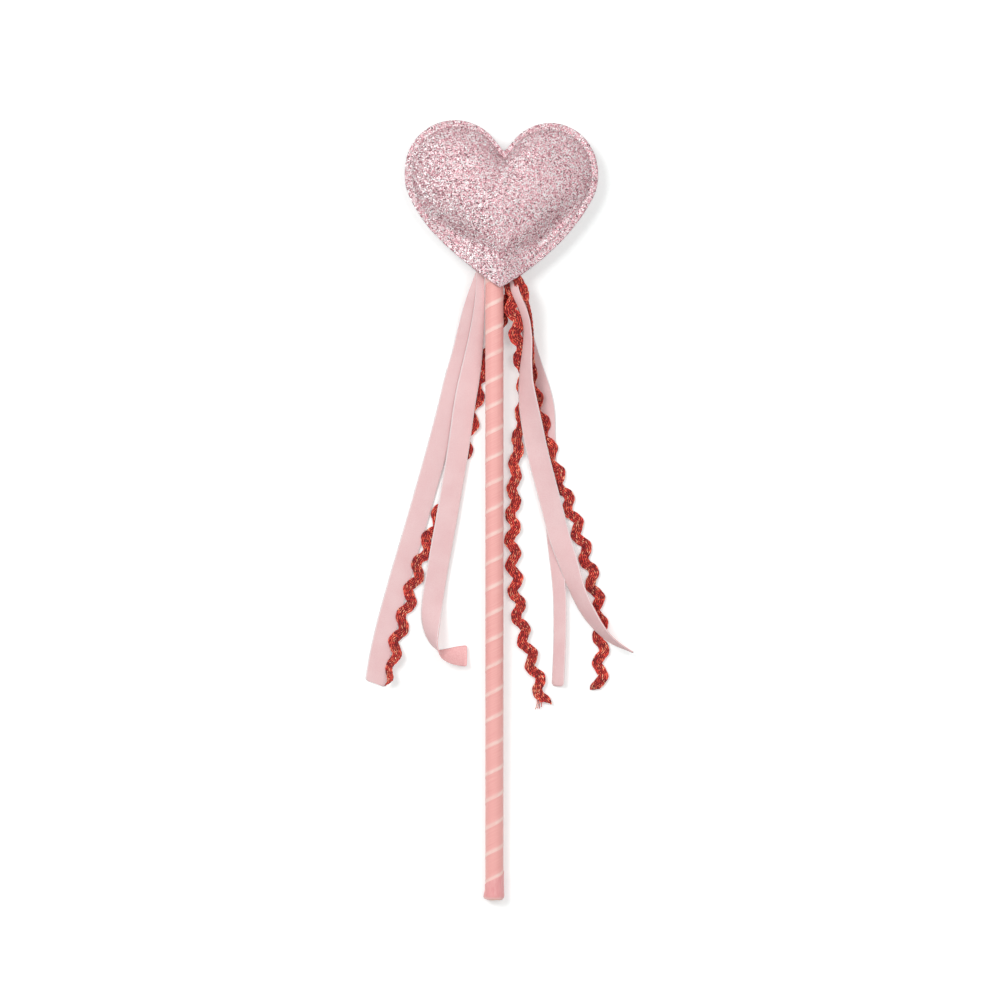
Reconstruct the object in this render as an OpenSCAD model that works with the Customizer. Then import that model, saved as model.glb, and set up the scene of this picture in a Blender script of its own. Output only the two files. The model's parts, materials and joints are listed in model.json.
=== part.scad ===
// Toy magic wand: a stuffed heart on a ribbon-wound stick, with seven streamers.
// The wand lies on its back on a table. +Y runs up the stick to the heart, +X is the wand's right
// and +Z points up from the table. The origin is below the middle of the whole, on the table.

/* [Stick] */
// Diameter of the wooden dowel
dowel_d = 8; // [6:0.5:10]
// Length of the stick from its foot to the tip of the heart
stick_out = 285; // [240:5:340]
// How far the dowel reaches up inside the heart
dowel_insert = 37; // [28:1:44]
// Thickness of the ribbon wound on the stick
wrap_t = 0.3; // [0.2:0.05:0.5]
// Rise of the winding in one turn
wrap_pitch = 12.13; // [12:0.01:18]
// Gap left between neighbouring turns, along the stick
wrap_gap = 0.5; // [0.46:0.02:1]
// Where the winding starts, above the foot
wrap_foot = 1.6; // [1:0.1:4]
// Side on which the winding starts, in degrees from the front
wrap_start = 60; // [0:5:355]
// Length of the ribbon end folded over the foot
tuck_length = 12; // [8:0.5:18]
// Thickness of the folded ribbon end
tuck_t = 0.45; // [0.3:0.05:0.8]
// Rounding of the folded end
tuck_round = 1.2; // [0.6:0.1:2]

/* [Heart] */
// Radius of each lobe
lobe_r = 23.2; // [20:0.1:24]
// Distance of the lobes' centres from the middle line
lobe_offset = 22.6; // [22:0.1:26]
// Height of the lobes' centres above the tip
lobe_rise = 54; // [50:0.1:60]
// Slope of the edges where they meet at the notch, in degrees
notch_slope = 50; // [40:1:58]
// Slope of the edges where they meet at the tip, in degrees
tip_slope = 30.5; // [28:0.5:34]
// Thickness of the stuffed heart
heart_depth = 23; // [20:0.5:30]
// Thickness of the glitter fabric
fabric_t = 0.8; // [0.5:0.1:1.2]
// Width of the flat sewn edge
rim_w = 3; // [2:0.1:4]
// Depth by which the back is pressed flat on the table
rest_flat = 0.8; // [0.4:0.1:1.5]
// Lean of the heart to the right, in degrees
heart_lean = 1.7; // [0:0.1:4]
// Distance of the tip to the right of the stick
tip_offset = 2.65; // [0:0.05:4]
// Half the width of the unsewn mouth at the tip
mouth_half = 20; // [18:0.5:24]
// Room between the wound stick and the fabric at the mouth
mouth_room = 1.05; // [0.8:0.05:2]
// Distance between stitches
stitch_pitch = 3.2; // [2.5:0.1:6]
// Thickness of the sewing thread
thread_d = 0.4; // [0.3:0.05:0.6]

/* [Streamers] */
// Width of the velvet ribbon
ribbon_w = 10; // [8:0.5:12]
// Width of the narrow velvet ribbon at the back
narrow_ribbon_w = 7.5; // [6:0.5:10]
// Thickness of the velvet ribbon
ribbon_t = 0.4; // [0.3:0.05:0.6]
// Width of the braid itself
braid_w = 5.2; // [4:0.1:6]
// Thickness of the braid
braid_t = 0.8; // [0.6:0.05:1]
// Sideways swing of the braid's waves
wave_height = 1.6; // [1:0.1:2]
// Length of one wave of the braid
wave_length = 11.8; // [10:0.1:14]
// Length of the left outer ribbon
left_outer_length = 198; // [150:1:220]
// Length of the left inner ribbon
left_inner_length = 190; // [150:1:210]
// Length of the right front ribbon
right_front_length = 191; // [150:1:210]
// Length of the right back ribbon
right_back_length = 195; // [150:1:215]
// Length of the left braid
left_braid_length = 201; // [150:1:220]
// Length of the right inner braid
inner_braid_length = 204; // [150:1:220]
// Length of the right outer braid
outer_braid_length = 201; // [150:1:220]
// Height of the streamers' glued ends above the tip of the heart
root_rise = 8.2; // [7.5:0.1:10]
// Radius of the streamers' rounded glued ends
root_r = 1.8; // [1.4:0.1:2]
// Room between the stick and the left streamers' glued ends
left_root_room = 0.35; // [0.3:0.05:0.5]
// Room between the stick and the right streamers' glued ends
right_root_room = 3.3; // [3:0.1:4]
// Gap between streamers that lie on each other
layer_gap = 0.3; // [0.3:0.05:0.6]

/* [Hidden] */
$fn = 48;

// Clearances and the overrun of cuts
fit_gap = 0.05;
soft_gap = 0.3;
overrun = 1;

// The stick, along +Y from its foot, with the front at +Z
dowel_r = dowel_d / 2;
wrap_rings = 24;
// The facets of the winding stay clear of the round dowel
wrap_in_r = (dowel_r + fit_gap) / cos(180 / wrap_rings);
wrap_out_r = wrap_in_r + wrap_t;
tuck_in_r = wrap_out_r + fit_gap;
tuck_out_r = tuck_in_r + tuck_t;
dowel_foot = tuck_t + fit_gap;
dowel_top = stick_out + dowel_insert;
wrap_half = (wrap_pitch - wrap_gap) / 2;
wrap_turns = floor((stick_out + root_rise - wrap_foot) / wrap_pitch) - 1;

// Heart: the side arc runs tangent from the tip into the lobe, and a straight edge goes to the notch
half_depth = heart_depth / 2;
tip_out = [sin(tip_slope), -cos(tip_slope)];
lobe_mid = [lobe_offset, lobe_rise];
side_r = (lobe_offset ^ 2 + lobe_rise ^ 2 - lobe_r ^ 2)
         / (2 * (-lobe_mid * tip_out - lobe_r));
side_mid = -side_r * tip_out;
side_from = atan2(tip_out.y, tip_out.x);
side_to = atan2(lobe_mid.y - side_mid.y, lobe_mid.x - side_mid.x);
lobe_to = 90 + notch_slope;
notch_out = [cos(lobe_to), sin(lobe_to)];
lobe_end = lobe_mid + lobe_r * notch_out;
notch = [0, lobe_end.y - lobe_end.x * tan(notch_slope)];
heart_mid_share = 0.78;
heart_mid = [0, lobe_rise * heart_mid_share];
// Shares along the side arc, closer together near the mouth
side_shares = [0, 0.03, 0.08, 0.15, 0.23, 0.33, 0.45, 0.58, 0.72, 0.86];
lobe_steps = 14;
notch_shares = [0.4, 0.75];
// Shares of the way out from the middle to the seam, and the crown there
ring_shares = [1, 0.95, 0.86, 0.72, 0.52, 0.28];
least_slant_share = 0.8;
crown_power = 2.2;
crown_round = 0.6;

// Mouth and the glue inside it
mouth_top = wrap_out_r + mouth_room;
mouth_fade_from = 20;
mouth_fade_to = 40;
glue_length = 6;
glue_half = 11.5;
glue_room = 0.5;
glue_steps = 12;

// Stitches
stitch_length_share = 0.72;
stitch_inset_share = 0.55;
thread_sides = 16;

// Lie of the whole wand on the table: foot and heart both touch it
heart_mid_y = stick_out + heart_mid.y;
tilt = atan((half_depth - rest_flat - tuck_out_r) / heart_mid_y);

// Streamers: where they are glued, how they drop and how they lie over each other
root_y = (stick_out + root_rise) * cos(tilt);
root_z = tuck_out_r * cos(tilt) + (stick_out + root_rise) * sin(tilt);
left_root = [-(wrap_out_r + left_root_room + root_r), root_y];
right_root = [wrap_out_r + right_root_room + root_r, root_y];
root_braid_t = 0.5;
root_layer_gap = 0.25;
root_layer = root_braid_t + root_layer_gap;
table_gap = 0.1;
land_left = 48;
land_right = 75;
land_under_stick = 24;
gather_length = 60;
front_gather_length = 75;
braid_spread = 12;
ribbon_steps = 40;
wave_steps = 8;
lean_share = 0.5;
cap_angles = [25, 60];

// Headings along each streamer at even distances, in degrees from straight down to the right
left_outer_headings = [-15, -14, -12, -13, -15.5, -16.5, -16, -16, -16, -14.5, -10];
left_inner_headings = [-5, -7, -8, -7, -8.5, -9.3, -9.3, -9.5, -9.5, -9, -6, 26, 100];
right_front_headings = [0, 8, 17, 3, 1, 5, 11, 13.5, 14.5, 13, 13, 13.5, 17, 27, 37, 53, 72];
right_back_headings = [12, 11, 13, 14.5, 3, 3.5, 4.5, 4.5, 2.5, -1, -1.5];
left_braid_headings = [-10, -13, -19, -19.5, -19.3, -19.2, -19.2, -19.2, -19, -17, -10];
inner_braid_headings = [-4, 0, 6.5, 7.5, 3, -6, -7, -3, -2.5, -1.5, 0, 3, 7, 12, 20, 21, 5];
outer_braid_headings = [14, 24, 8, 1, 2, 9, 14, 20, 19, 20, 20, 19, 15, 7, 2, -2, -2];
// Turn of a ribbon about its own length, at even distances, in degrees
flat_rolls = [0, 0];
left_inner_rolls = [0, 0, 0, 0, 0, 0, 0, 0, 0, 0, 0, 0, 0, 0, 15, 120, 180];
right_front_rolls = [0, 0, 0, 0, 0, 0, 0, 0, 0, 0, 0, 0, 8, 30, 50, 85];

// Plain helpers
function mix(a, b, t) = a + (b - a) * t;
function ramp(from, to, x) =
    let (t = min(1, max(0, (x - from) / (to - from)))) t * t * (3 - 2 * t);
function along(list, t) =
    let (k = min(max(t, 0), 1) * (len(list) - 1), i = min(floor(k), len(list) - 2))
    mix(list[i], list[i + 1], k - i);
function reversed(faces) = [for (f = faces) [f[2], f[1], f[0]]];
function flat_list(lists) = [for (list = lists) for (item = list) item];

// A point of the straight wand, laid on the table and kept above a floor height
function lay(p, floor_z = 0) =
    [p.x, p.y * cos(tilt) - p.z * sin(tilt),
     max(floor_z, p.y * sin(tilt) + p.z * cos(tilt) + tuck_out_r * cos(tilt))];

// Faces of a strip of rings with four corners each, closed at both ends
function strip_faces(rings) = concat(
    [for (i = [0:rings - 2]) for (j = [0:3])
        let (a = 4 * i + j, b = 4 * i + (j + 1) % 4) each [[a, b, b + 4], [a, b + 4, a + 4]]],
    [[2, 1, 0], [3, 2, 0]],
    let (e = 4 * (rings - 1)) [[e, e + 1, e + 2], [e, e + 2, e + 3]]);

// Winding of the ribbon on the stick
function wrap_ring(turn) =
    let (a = wrap_start + 360 * turn, y = wrap_foot + wrap_half + wrap_pitch * turn)
    [for (c = [[wrap_in_r, -1], [wrap_out_r, -1], [wrap_out_r, 1], [wrap_in_r, 1]])
        [c[0] * sin(a), y + c[1] * wrap_half, c[0] * cos(a)]];
wrap_line = [for (i = [0:wrap_turns * wrap_rings]) wrap_ring(i / wrap_rings)];
wrap_self_gap = min([for (i = [0:wrap_rings]) for (j = [-3:3])
    norm(wrap_line[i][2] - wrap_line[max(0, i + wrap_rings + j)][1])]);
echo("least gap of the winding to itself, mm", wrap_self_gap);

// Outline of the heart from the tip round the right to the notch, with its outward direction
half_outline = concat(
    [for (t = side_shares)
        let (a = mix(side_from, side_to, t), n = [cos(a), sin(a)]) [side_mid + side_r * n, n]],
    [for (i = [0:lobe_steps])
        let (a = mix(side_to, lobe_to, i / lobe_steps), n = [cos(a), sin(a)])
        [lobe_mid + lobe_r * n, n]],
    [for (t = notch_shares) [mix(lobe_end, notch, t), notch_out]],
    [[notch, [0, 1]]]);
half_count = len(half_outline);
outline = concat(half_outline,
    [for (i = [half_count - 2:-1:1])
        let (q = half_outline[i]) [[-q[0].x, q[0].y], [-q[1].x, q[1].y]]]);
outline_count = len(outline);
seam_ring = [for (q = outline)
    let (way = heart_mid - q[0], u = way / norm(way))
    q[0] + u * rim_w / max(least_slant_share, -u * q[1])];

// Heart coordinates turned and moved onto the wand
function on_wand(p) =
    [tip_offset + p.x * cos(heart_lean) + p.y * sin(heart_lean),
     stick_out - p.x * sin(heart_lean) + p.y * cos(heart_lean)];

// Height of the fabric's inner face over the seam plane
function crown(share) = share >= 1 ? 0 : (1 - share ^ crown_power) ^ crown_round;
function mouth_lift(p) =
    abs(p.x) >= mouth_half ? 0 :
    mouth_top * (1 - (p.x / mouth_half) ^ 2) ^ 2
    * (1 - ramp(stick_out + mouth_fade_from, stick_out + mouth_fade_to, p.y));
function inner_height(p, share) =
    max((half_depth - fabric_t) * crown(share), mouth_lift(p));

// Rings of a panel from the cut edge to the middle, as plan points with heights
panel_rings = concat(
    [[for (q = outline) let (p = on_wand(q[0])) [p.x, p.y, mouth_lift(p)]]],
    [for (share = ring_shares)
        [for (q = seam_ring)
            let (p = on_wand(mix(heart_mid, q, share))) [p.x, p.y, inner_height(p, share)]]]);
panel_mid = let (p = on_wand(heart_mid)) [p.x, p.y, half_depth - fabric_t];
panel_levels = len(panel_rings);

// Faces of two stacked domes of rings joined round their outer edge: an upper one and a lower one
function dome_faces(count, levels) =
    let (lower = count * levels + 1, last = count * (levels - 1), mid = count * levels)
    concat(
        flat_list([for (k = [0:levels - 2]) for (i = [0:count - 1])
            let (j = (i + 1) % count, a = count * k + i, b = count * k + j)
            [[a, a + count, b + count], [a, b + count, b],
             [lower + a, lower + b + count, lower + a + count],
             [lower + a, lower + b, lower + b + count]]]),
        flat_list([for (i = [0:count - 1])
            let (j = (i + 1) % count)
            [[last + i, mid, last + j], [lower + last + i, lower + last + j, lower + mid],
             [i, j, lower + j], [i, lower + j, lower + i]]]));

// Points of all rings and the middle, raised or lowered by a height and mirrored by a sign
function dome_points(rings, middle, sign, add, floor_z) =
    [for (p = concat(flat_list(rings), [middle])) lay([p.x, p.y, sign * (p.z + add)], floor_z)];

// Share of the drop that is left at a distance from the glued end
function drop_share(r, land) = r >= land ? 0 : (1 + cos(180 * r / land)) / 2;

// Four corners of a streamer, whose two edges both lie on its layer over the table
function station(root, p, heading, roll, half_w, thick, levels, land) =
    let (
        across = half_w * [cos(heading), sin(heading)] * cos(roll),
        left = p - across,
        right = p + across,
        left_share = drop_share(norm(left - root), land),
        right_share = drop_share(norm(right - root), land),
        half_t = mix(thick[1], thick[0], drop_share(norm(p - root), land)) / 2,
        up = half_t * [-cos(heading) * sin(roll), -sin(heading) * sin(roll), cos(roll)],
        lift = half_w * (abs(sin(roll)) - sin(roll)),
        rise = half_w * (abs(sin(roll)) + sin(roll)),
        low = [left.x, left.y, mix(levels[1], levels[0], left_share) + lift],
        high = [right.x, right.y, mix(levels[1], levels[0], right_share) + rise])
    [low - up, low + up, high + up, high - up];

// Streamer stations: rounded glued end first, then the run
function tail_points(root, length, headings, rolls, half_w, thick, spread, levels, land, steps, waves) =
    let (
        step = length / steps,
        line = [for (i = 0, p = root; i <= steps;
                     p = p + step * [sin(along(headings, (i + 0.5) / steps)),
                                     -cos(along(headings, (i + 0.5) / steps))],
                     i = i + 1) p],
        start = [sin(headings[0]), -cos(headings[0])])
    concat(
        [for (a = cap_angles)
            station(root, root - start * root_r * cos(a), headings[0], 0, root_r * sin(a), thick, levels,
                    land)],
        [for (i = [0:steps])
            let (
                s = i * step,
                grow = ramp(0, spread, s),
                turn = 360 * s / wave_length,
                wave = waves * grow * wave_height * sin(turn),
                slant = waves * grow * wave_height * cos(turn) * 2 * PI / wave_length,
                heading = along(headings, i / steps))
            station(root, line[i] + wave * [cos(heading), sin(heading)],
                    heading + lean_share * atan(slant), along(rolls, i / steps),
                    mix(root_r, half_w, grow), thick, levels, land)]);

// Height of a streamer's middle on the table, over so many ribbons and braids
function table_level(ribbons, braids, own_t) =
    table_gap + ribbons * (ribbon_t + layer_gap) + braids * (braid_t + layer_gap) + own_t / 2;
function ribbon_tail(root, width, length, gather, headings, rolls, layer, ribbons, braids, land) =
    tail_points(root, length, headings, rolls, width / 2, [ribbon_t, ribbon_t], gather,
                [root_z + layer * root_layer, table_level(ribbons, braids, ribbon_t)], land,
                ribbon_steps, 0);
function braid_tail(root, length, headings, layer, ribbons, braids, land) =
    tail_points(root, length, headings, flat_rolls, braid_w / 2, [root_braid_t, braid_t], braid_spread,
                [root_z + layer * root_layer, table_level(ribbons, braids, braid_t)], land,
                round(length / wave_length * wave_steps), 1);

left_outer = ribbon_tail(left_root, ribbon_w, left_outer_length, gather_length,
                         left_outer_headings, flat_rolls, -0.5, 0, 0, land_left);
left_inner = ribbon_tail(left_root, ribbon_w, left_inner_length, gather_length,
                         left_inner_headings, left_inner_rolls, 0.5, 1, 1, land_left);
right_front = ribbon_tail(right_root, ribbon_w, right_front_length, front_gather_length,
                          right_front_headings, right_front_rolls, 2, 1, 2, land_right);
right_back = ribbon_tail(right_root, narrow_ribbon_w, right_back_length, gather_length,
                         right_back_headings, flat_rolls, -1, 0, 0, land_right);
left_braid = braid_tail(right_root, left_braid_length, left_braid_headings, -2, 1, 0,
                        land_under_stick);
inner_braid = braid_tail(right_root, inner_braid_length, inner_braid_headings, 1, 1, 1, land_right);
outer_braid = braid_tail(right_root, outer_braid_length, outer_braid_headings, 0, 1, 0, land_right);

// Middle of the whole in plan, which is the origin
all_x = [for (tail = [left_outer, right_front, right_back, outer_braid]) for (s = tail) for (p = s) p.x];
heart_y = [for (p = panel_rings[0]) p.y * cos(tilt)];
plan_mid = [(min(all_x) + max(all_x)) / 2, max(heart_y) / 2];
echo("stick axis x", -plan_mid.x, "tilt", tilt, "middle", plan_mid);
echo("left root", left_root - plan_mid, "right root", right_root - plan_mid, "height", root_z);

module on_table() {
    translate([-plan_mid.x, -plan_mid.y, 0]) children();
}

// Puts what is built along the straight wand onto the table
module laid() {
    on_table() translate([0, 0, tuck_out_r * cos(tilt)]) rotate([tilt, 0, 0]) children();
}

// Turns what is built up +Z to run up the stick
module up_stick() {
    laid() rotate([-90, 0, 0]) children();
}

module strip(line) {
    polyhedron(flat_list(line), strip_faces(len(line)));
}

module dowel() {
    color("burlywood") up_stick()
        translate([0, 0, dowel_foot]) cylinder(r = dowel_r, h = dowel_top - dowel_foot);
}

module stick_wrap() {
    color("lightcoral") on_table()
        strip([for (ring = wrap_line) [for (p = ring) lay(p)]]);
}

module end_tuck() {
    color("lightcoral") up_stick() rotate_extrude()
        difference() {
            intersection() {
                union() {
                    translate([0, tuck_round]) square([tuck_out_r, tuck_length - tuck_round]);
                    square([tuck_out_r - tuck_round, tuck_round]);
                    translate([tuck_out_r - tuck_round, tuck_round]) circle(tuck_round);
                }
                square([tuck_out_r, tuck_length]);
            }
            translate([0, tuck_t]) square([tuck_in_r, tuck_length]);
        }
}

module neck_glue() {
    function room_at(x) = mouth_lift([x, stick_out]) - glue_room;
    upper = [for (i = [-glue_steps:glue_steps]) let (x = glue_half * i / glue_steps) [x, room_at(x)]];
    lower = [for (i = [len(upper) - 1:-1:0]) [upper[i].x, -upper[i].y]];
    color("ivory") up_stick()
        translate([0, 0, stick_out + root_rise + root_r + soft_gap])
        difference() {
            linear_extrude(glue_length) polygon(concat(upper, lower));
            translate([0, 0, -overrun]) cylinder(r = dowel_r + fit_gap, h = glue_length + 2 * overrun);
        }
}

module heart_front() {
    color("pink") on_table()
        polyhedron(concat(dome_points(panel_rings, panel_mid, 1, fabric_t, 0),
                          dome_points(panel_rings, panel_mid, 1, 0, 0)),
                   dome_faces(outline_count, panel_levels));
}

module heart_back() {
    color("pink") on_table()
        polyhedron(concat(dome_points(panel_rings, panel_mid, -1, fabric_t, 0),
                          dome_points(panel_rings, panel_mid, -1, 0, fabric_t)),
                   reversed(dome_faces(outline_count, panel_levels)));
}

module heart_filling() {
    rings = [for (k = [2:panel_levels - 1]) panel_rings[k]];
    color("white") difference() {
        on_table()
            polyhedron(concat(dome_points(rings, panel_mid, 1, -soft_gap, 0),
                              dome_points(rings, panel_mid, -1, -soft_gap, fabric_t + soft_gap)),
                       dome_faces(outline_count, len(rings)));
        up_stick() cylinder(r = dowel_r + soft_gap, h = dowel_top + soft_gap);
        up_stick() translate([-mouth_half, -half_depth, 0])
            cube([2 * mouth_half, heart_depth,
                  stick_out + root_rise + root_r + soft_gap + glue_length + soft_gap]);
    }
}

module seam_stitching() {
    inset = rim_w * stitch_inset_share;
    side_len = (side_r - inset) * (side_to - side_from) * PI / 180;
    lobe_len = (lobe_r - inset) * (lobe_to - side_to) * PI / 180;
    notch_len = norm(notch - lobe_end);
    // The first stitch comes after the mouth on either side
    mouth_a = -acos((mouth_half + tip_offset - side_mid.x) / (side_r - inset));
    first = side_len * (mouth_a - side_from) / (side_to - side_from) + 2 * stitch_pitch;
    count = floor((side_len + lobe_len + notch_len - first) / stitch_pitch);
    color("mistyrose") laid() translate([tip_offset, stick_out, 0]) rotate([0, 0, -heart_lean])
        for (face = [-1, 1]) for (half = [0, 1]) mirror([half, 0, 0])
            translate([0, 0, face * (fabric_t + thread_d / 2 + fit_gap)])
            for (i = [0:count - 1])
                let (
                    s = first + i * stitch_pitch,
                    a = s < side_len ? mix(side_from, side_to, s / side_len)
                        : mix(side_to, lobe_to, min(1, (s - side_len) / lobe_len)),
                    n = [cos(a), sin(a)],
                    on_lobe = lobe_mid + (lobe_r - inset) * n,
                    past = max(0, s - side_len - lobe_len) / notch_len,
                    p = s < side_len ? side_mid + (side_r - inset) * n
                        : on_lobe + past * (notch - lobe_end))
                translate([p.x, p.y, 0]) rotate([0, 0, a]) rotate([90, 0, 0])
                    cylinder(d = thread_d, h = stitch_pitch * stitch_length_share, center = true,
                             $fn = thread_sides);
}

module ribbon_left_outer() {
    color("mistyrose") on_table() strip(left_outer);
}

module ribbon_left_inner() {
    color("mistyrose") on_table() strip(left_inner);
}

module ribbon_right_front() {
    color("mistyrose") on_table() strip(right_front);
}

module ribbon_right_back() {
    color("mistyrose") on_table() strip(right_back);
}

module ricrac_left() {
    color("firebrick") on_table() strip(left_braid);
}

module ricrac_right_inner() {
    color("firebrick") on_table() strip(inner_braid);
}

module ricrac_right_outer() {
    color("firebrick") on_table() strip(outer_braid);
}

dowel();
stick_wrap();
end_tuck();
neck_glue();
heart_front();
heart_back();
heart_filling();
seam_stitching();
ribbon_left_outer();
ribbon_left_inner();
ribbon_right_front();
ribbon_right_back();
ricrac_left();
ricrac_right_inner();
ricrac_right_outer();
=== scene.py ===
# %% [markdown]
# # A soft toy wand
#
# The real wand is a craft toy: a heart of glitter fabric, sewn round its edge and stuffed, glued on a
# stick that is wound with satin ribbon, with velvet ribbons and zigzag braid hanging from the heart's tip.
# The CAD model already says where everything is and how it swings. In this lesson each soft piece gets its
# real surface: folds, stitches, plaited thread, glitter.

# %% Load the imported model
import json
import math

import bpy
from mathutils import Matrix, Vector, noise
from mathutils.bvhtree import BVHTree


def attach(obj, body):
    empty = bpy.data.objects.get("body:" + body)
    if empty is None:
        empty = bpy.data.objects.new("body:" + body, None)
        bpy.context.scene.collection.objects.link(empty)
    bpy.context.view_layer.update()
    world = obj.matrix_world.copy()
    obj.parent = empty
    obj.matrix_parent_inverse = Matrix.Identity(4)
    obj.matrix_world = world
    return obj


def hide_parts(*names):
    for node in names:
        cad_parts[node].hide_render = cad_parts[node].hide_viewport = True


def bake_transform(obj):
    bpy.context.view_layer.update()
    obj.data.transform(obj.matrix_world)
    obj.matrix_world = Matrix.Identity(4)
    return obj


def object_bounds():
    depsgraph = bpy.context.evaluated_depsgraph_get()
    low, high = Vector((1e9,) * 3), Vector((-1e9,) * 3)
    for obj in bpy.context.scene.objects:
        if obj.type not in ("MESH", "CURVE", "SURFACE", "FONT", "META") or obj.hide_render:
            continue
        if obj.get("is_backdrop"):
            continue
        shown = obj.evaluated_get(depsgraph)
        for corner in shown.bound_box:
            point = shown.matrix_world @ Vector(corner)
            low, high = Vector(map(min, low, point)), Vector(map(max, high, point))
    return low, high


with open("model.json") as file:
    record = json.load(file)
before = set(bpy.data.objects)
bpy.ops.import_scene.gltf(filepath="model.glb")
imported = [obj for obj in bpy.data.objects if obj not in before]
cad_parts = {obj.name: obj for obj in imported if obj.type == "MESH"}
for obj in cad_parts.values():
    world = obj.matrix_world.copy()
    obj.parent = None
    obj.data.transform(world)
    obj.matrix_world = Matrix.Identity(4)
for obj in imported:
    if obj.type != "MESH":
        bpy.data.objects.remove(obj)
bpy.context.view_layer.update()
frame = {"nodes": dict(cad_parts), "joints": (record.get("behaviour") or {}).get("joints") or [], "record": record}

MM = 0.001
record = frame["record"]
bpy.ops.object.select_all(action="DESELECT")

# %% [markdown]
# ## Camera
#
# The photograph looks straight down on the wand as it lies on a white table. A long lens far above gives
# nearly parallel lines, as a studio camera on a boom does. The picture is square and spans 465 mm.

# %% Camera
PICTURE_SPAN = 0.465
PICTURE_MIDDLE = (0.0011, 0.0050)
LENS, SENSOR = 200, 36
FOCUS_HEIGHT = 0.008
VIEW_END = 20
camera_height = FOCUS_HEIGHT + PICTURE_SPAN * LENS / SENSOR
bpy.ops.object.camera_add(location=(*PICTURE_MIDDLE, camera_height), rotation=(0, 0, 0))
camera = bpy.context.object
camera.data.lens = LENS
camera.data.sensor_width = SENSOR
camera.data.clip_end = VIEW_END
bpy.context.scene.camera = camera
bpy.context.scene.view_settings.view_transform = "Standard"
print("camera height in mm:", round(camera_height / MM))

# %% [markdown]
# ## Materials: a few small helpers
#
# Colours are given as sRGB hex values, but shader sockets hold linear light, so one function turns one
# into the other. Another adds a node, sets its values and makes its links.

# %% Material helpers
def linear(hex_code):
    """An sRGB hex colour as the linear colour that a socket holds."""
    values = [int(hex_code[i:i + 2], 16) / 255 for i in (1, 3, 5)]
    return [v / 12.92 if v <= 0.04045 else ((v + 0.055) / 1.055) ** 2.4 for v in values] + [1.0]


def start_material(name):
    """A new material with its node tree and its shader."""
    material = bpy.data.materials.new(name)
    material.use_nodes = True
    return material, material.node_tree, material.node_tree.nodes["Principled BSDF"]


def add_node(tree, kind, inputs=None, **settings):
    """Adds a node. A socket among the inputs is linked, and anything else is a value."""
    made = tree.nodes.new(kind)
    for name, value in settings.items():
        setattr(made, name, value)
    for name, value in (inputs or {}).items():
        if isinstance(value, bpy.types.NodeSocket):
            tree.links.new(value, made.inputs[name])
        else:
            made.inputs[name].default_value = value
    return made


def set_stops(ramp_node, stops, interpolation="LINEAR"):
    """Gives a colour ramp its stops, as (place, hex colour)."""
    ramp = ramp_node.color_ramp
    ramp.interpolation = interpolation
    while len(ramp.elements) < len(stops):
        ramp.elements.new(0.5)
    for element, (place, hex_code) in zip(ramp.elements, stops):
        element.position = place
        element.color = linear(hex_code)


print("a pale pink as linear light:", [round(v, 3) for v in linear("#f2d0d0")])

# %% [markdown]
# ## Floor and light
#
# A pale table, one large soft lamp from the upper left, a weaker one from the right and an even sky.
# Together they light a level white card to just about white. The table and the sky show white to the
# camera and in anything shiny, by the Light Path node, and the table keeps the soft shadows, because only
# a little light of its own is added there.

# %% Floor
TABLE_SIZE = 8
TABLE_DROP = 0.0003
TABLE_GLOW = 0.3


def seen_or_mirrored(tree):
    """1 where the camera sees a surface, directly, in a mirror or through glass, and 0 for other light."""
    path = add_node(tree, "ShaderNodeLightPath")
    seen = path.outputs["Is Camera Ray"]
    for ray in ("Is Glossy Ray", "Is Transmission Ray"):
        larger = add_node(tree, "ShaderNodeMath", {0: seen, 1: path.outputs[ray]}, operation="MAXIMUM")
        seen = larger.outputs[0]
    return seen


bpy.ops.mesh.primitive_plane_add(size=TABLE_SIZE, location=(0, 0, -TABLE_DROP))
floor = bpy.context.object
floor.name = "table_top"
# Matt white paper: no gloss, so that nothing but soft shadows shows on it.
paper, tree, shader = start_material("white_table_paper")
shader.inputs["Base Color"].default_value = linear("#f1f5f4")
shader.inputs["Roughness"].default_value = 0.9
shader.inputs["Emission Color"].default_value = (1, 1, 1, 1)
glow = add_node(tree, "ShaderNodeMath", {0: seen_or_mirrored(tree), 1: TABLE_GLOW}, operation="MULTIPLY")
tree.links.new(glow.outputs[0], shader.inputs["Emission Strength"])
floor.data.materials.append(paper)
floor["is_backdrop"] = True
print("table top:", TABLE_SIZE, "m wide")

# %% Lamps and sky
SKY_LIGHT, SKY_SEEN = 0.42, 1.0


def soft_lamp(name, place, size, power):
    """A square lamp that looks at the middle of the wand."""
    bpy.ops.object.light_add(type="AREA", location=place)
    lamp = bpy.context.object
    lamp.name = name
    lamp.data.shape = "SQUARE"
    lamp.data.size = size
    lamp.data.energy = power
    lamp.rotation_euler = (-Vector(place)).to_track_quat("-Z", "Y").to_euler()
    print(name, power, "W")


soft_lamp("window_lamp", place=(-0.95, 0.75, 2.05), size=0.9, power=24.0)
soft_lamp("table_lamp", place=(0.7, 0.35, 1.95), size=0.8, power=9.0)
world = bpy.data.worlds.new("studio_sky")
bpy.context.scene.world = world
world.use_nodes = True
sky = world.node_tree.nodes["Background"]
sky.inputs["Color"].default_value = (1, 1, 1, 1)
strength = add_node(world.node_tree, "ShaderNodeMapRange",
                    {"Value": seen_or_mirrored(world.node_tree), "To Min": SKY_LIGHT, "To Max": SKY_SEEN})
world.node_tree.links.new(strength.outputs["Result"], sky.inputs["Strength"])

# %% [markdown]
# ## The wand's own axes
#
# The stick lies slightly tilted, because the heart is thicker than the stick's foot. The foot's mount in
# the record gives the stick's line, so the rest is worked out from it: x to the side, y up the stick from
# its foot and z towards the front. Pieces are modelled upright in these axes and then laid down.

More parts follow.
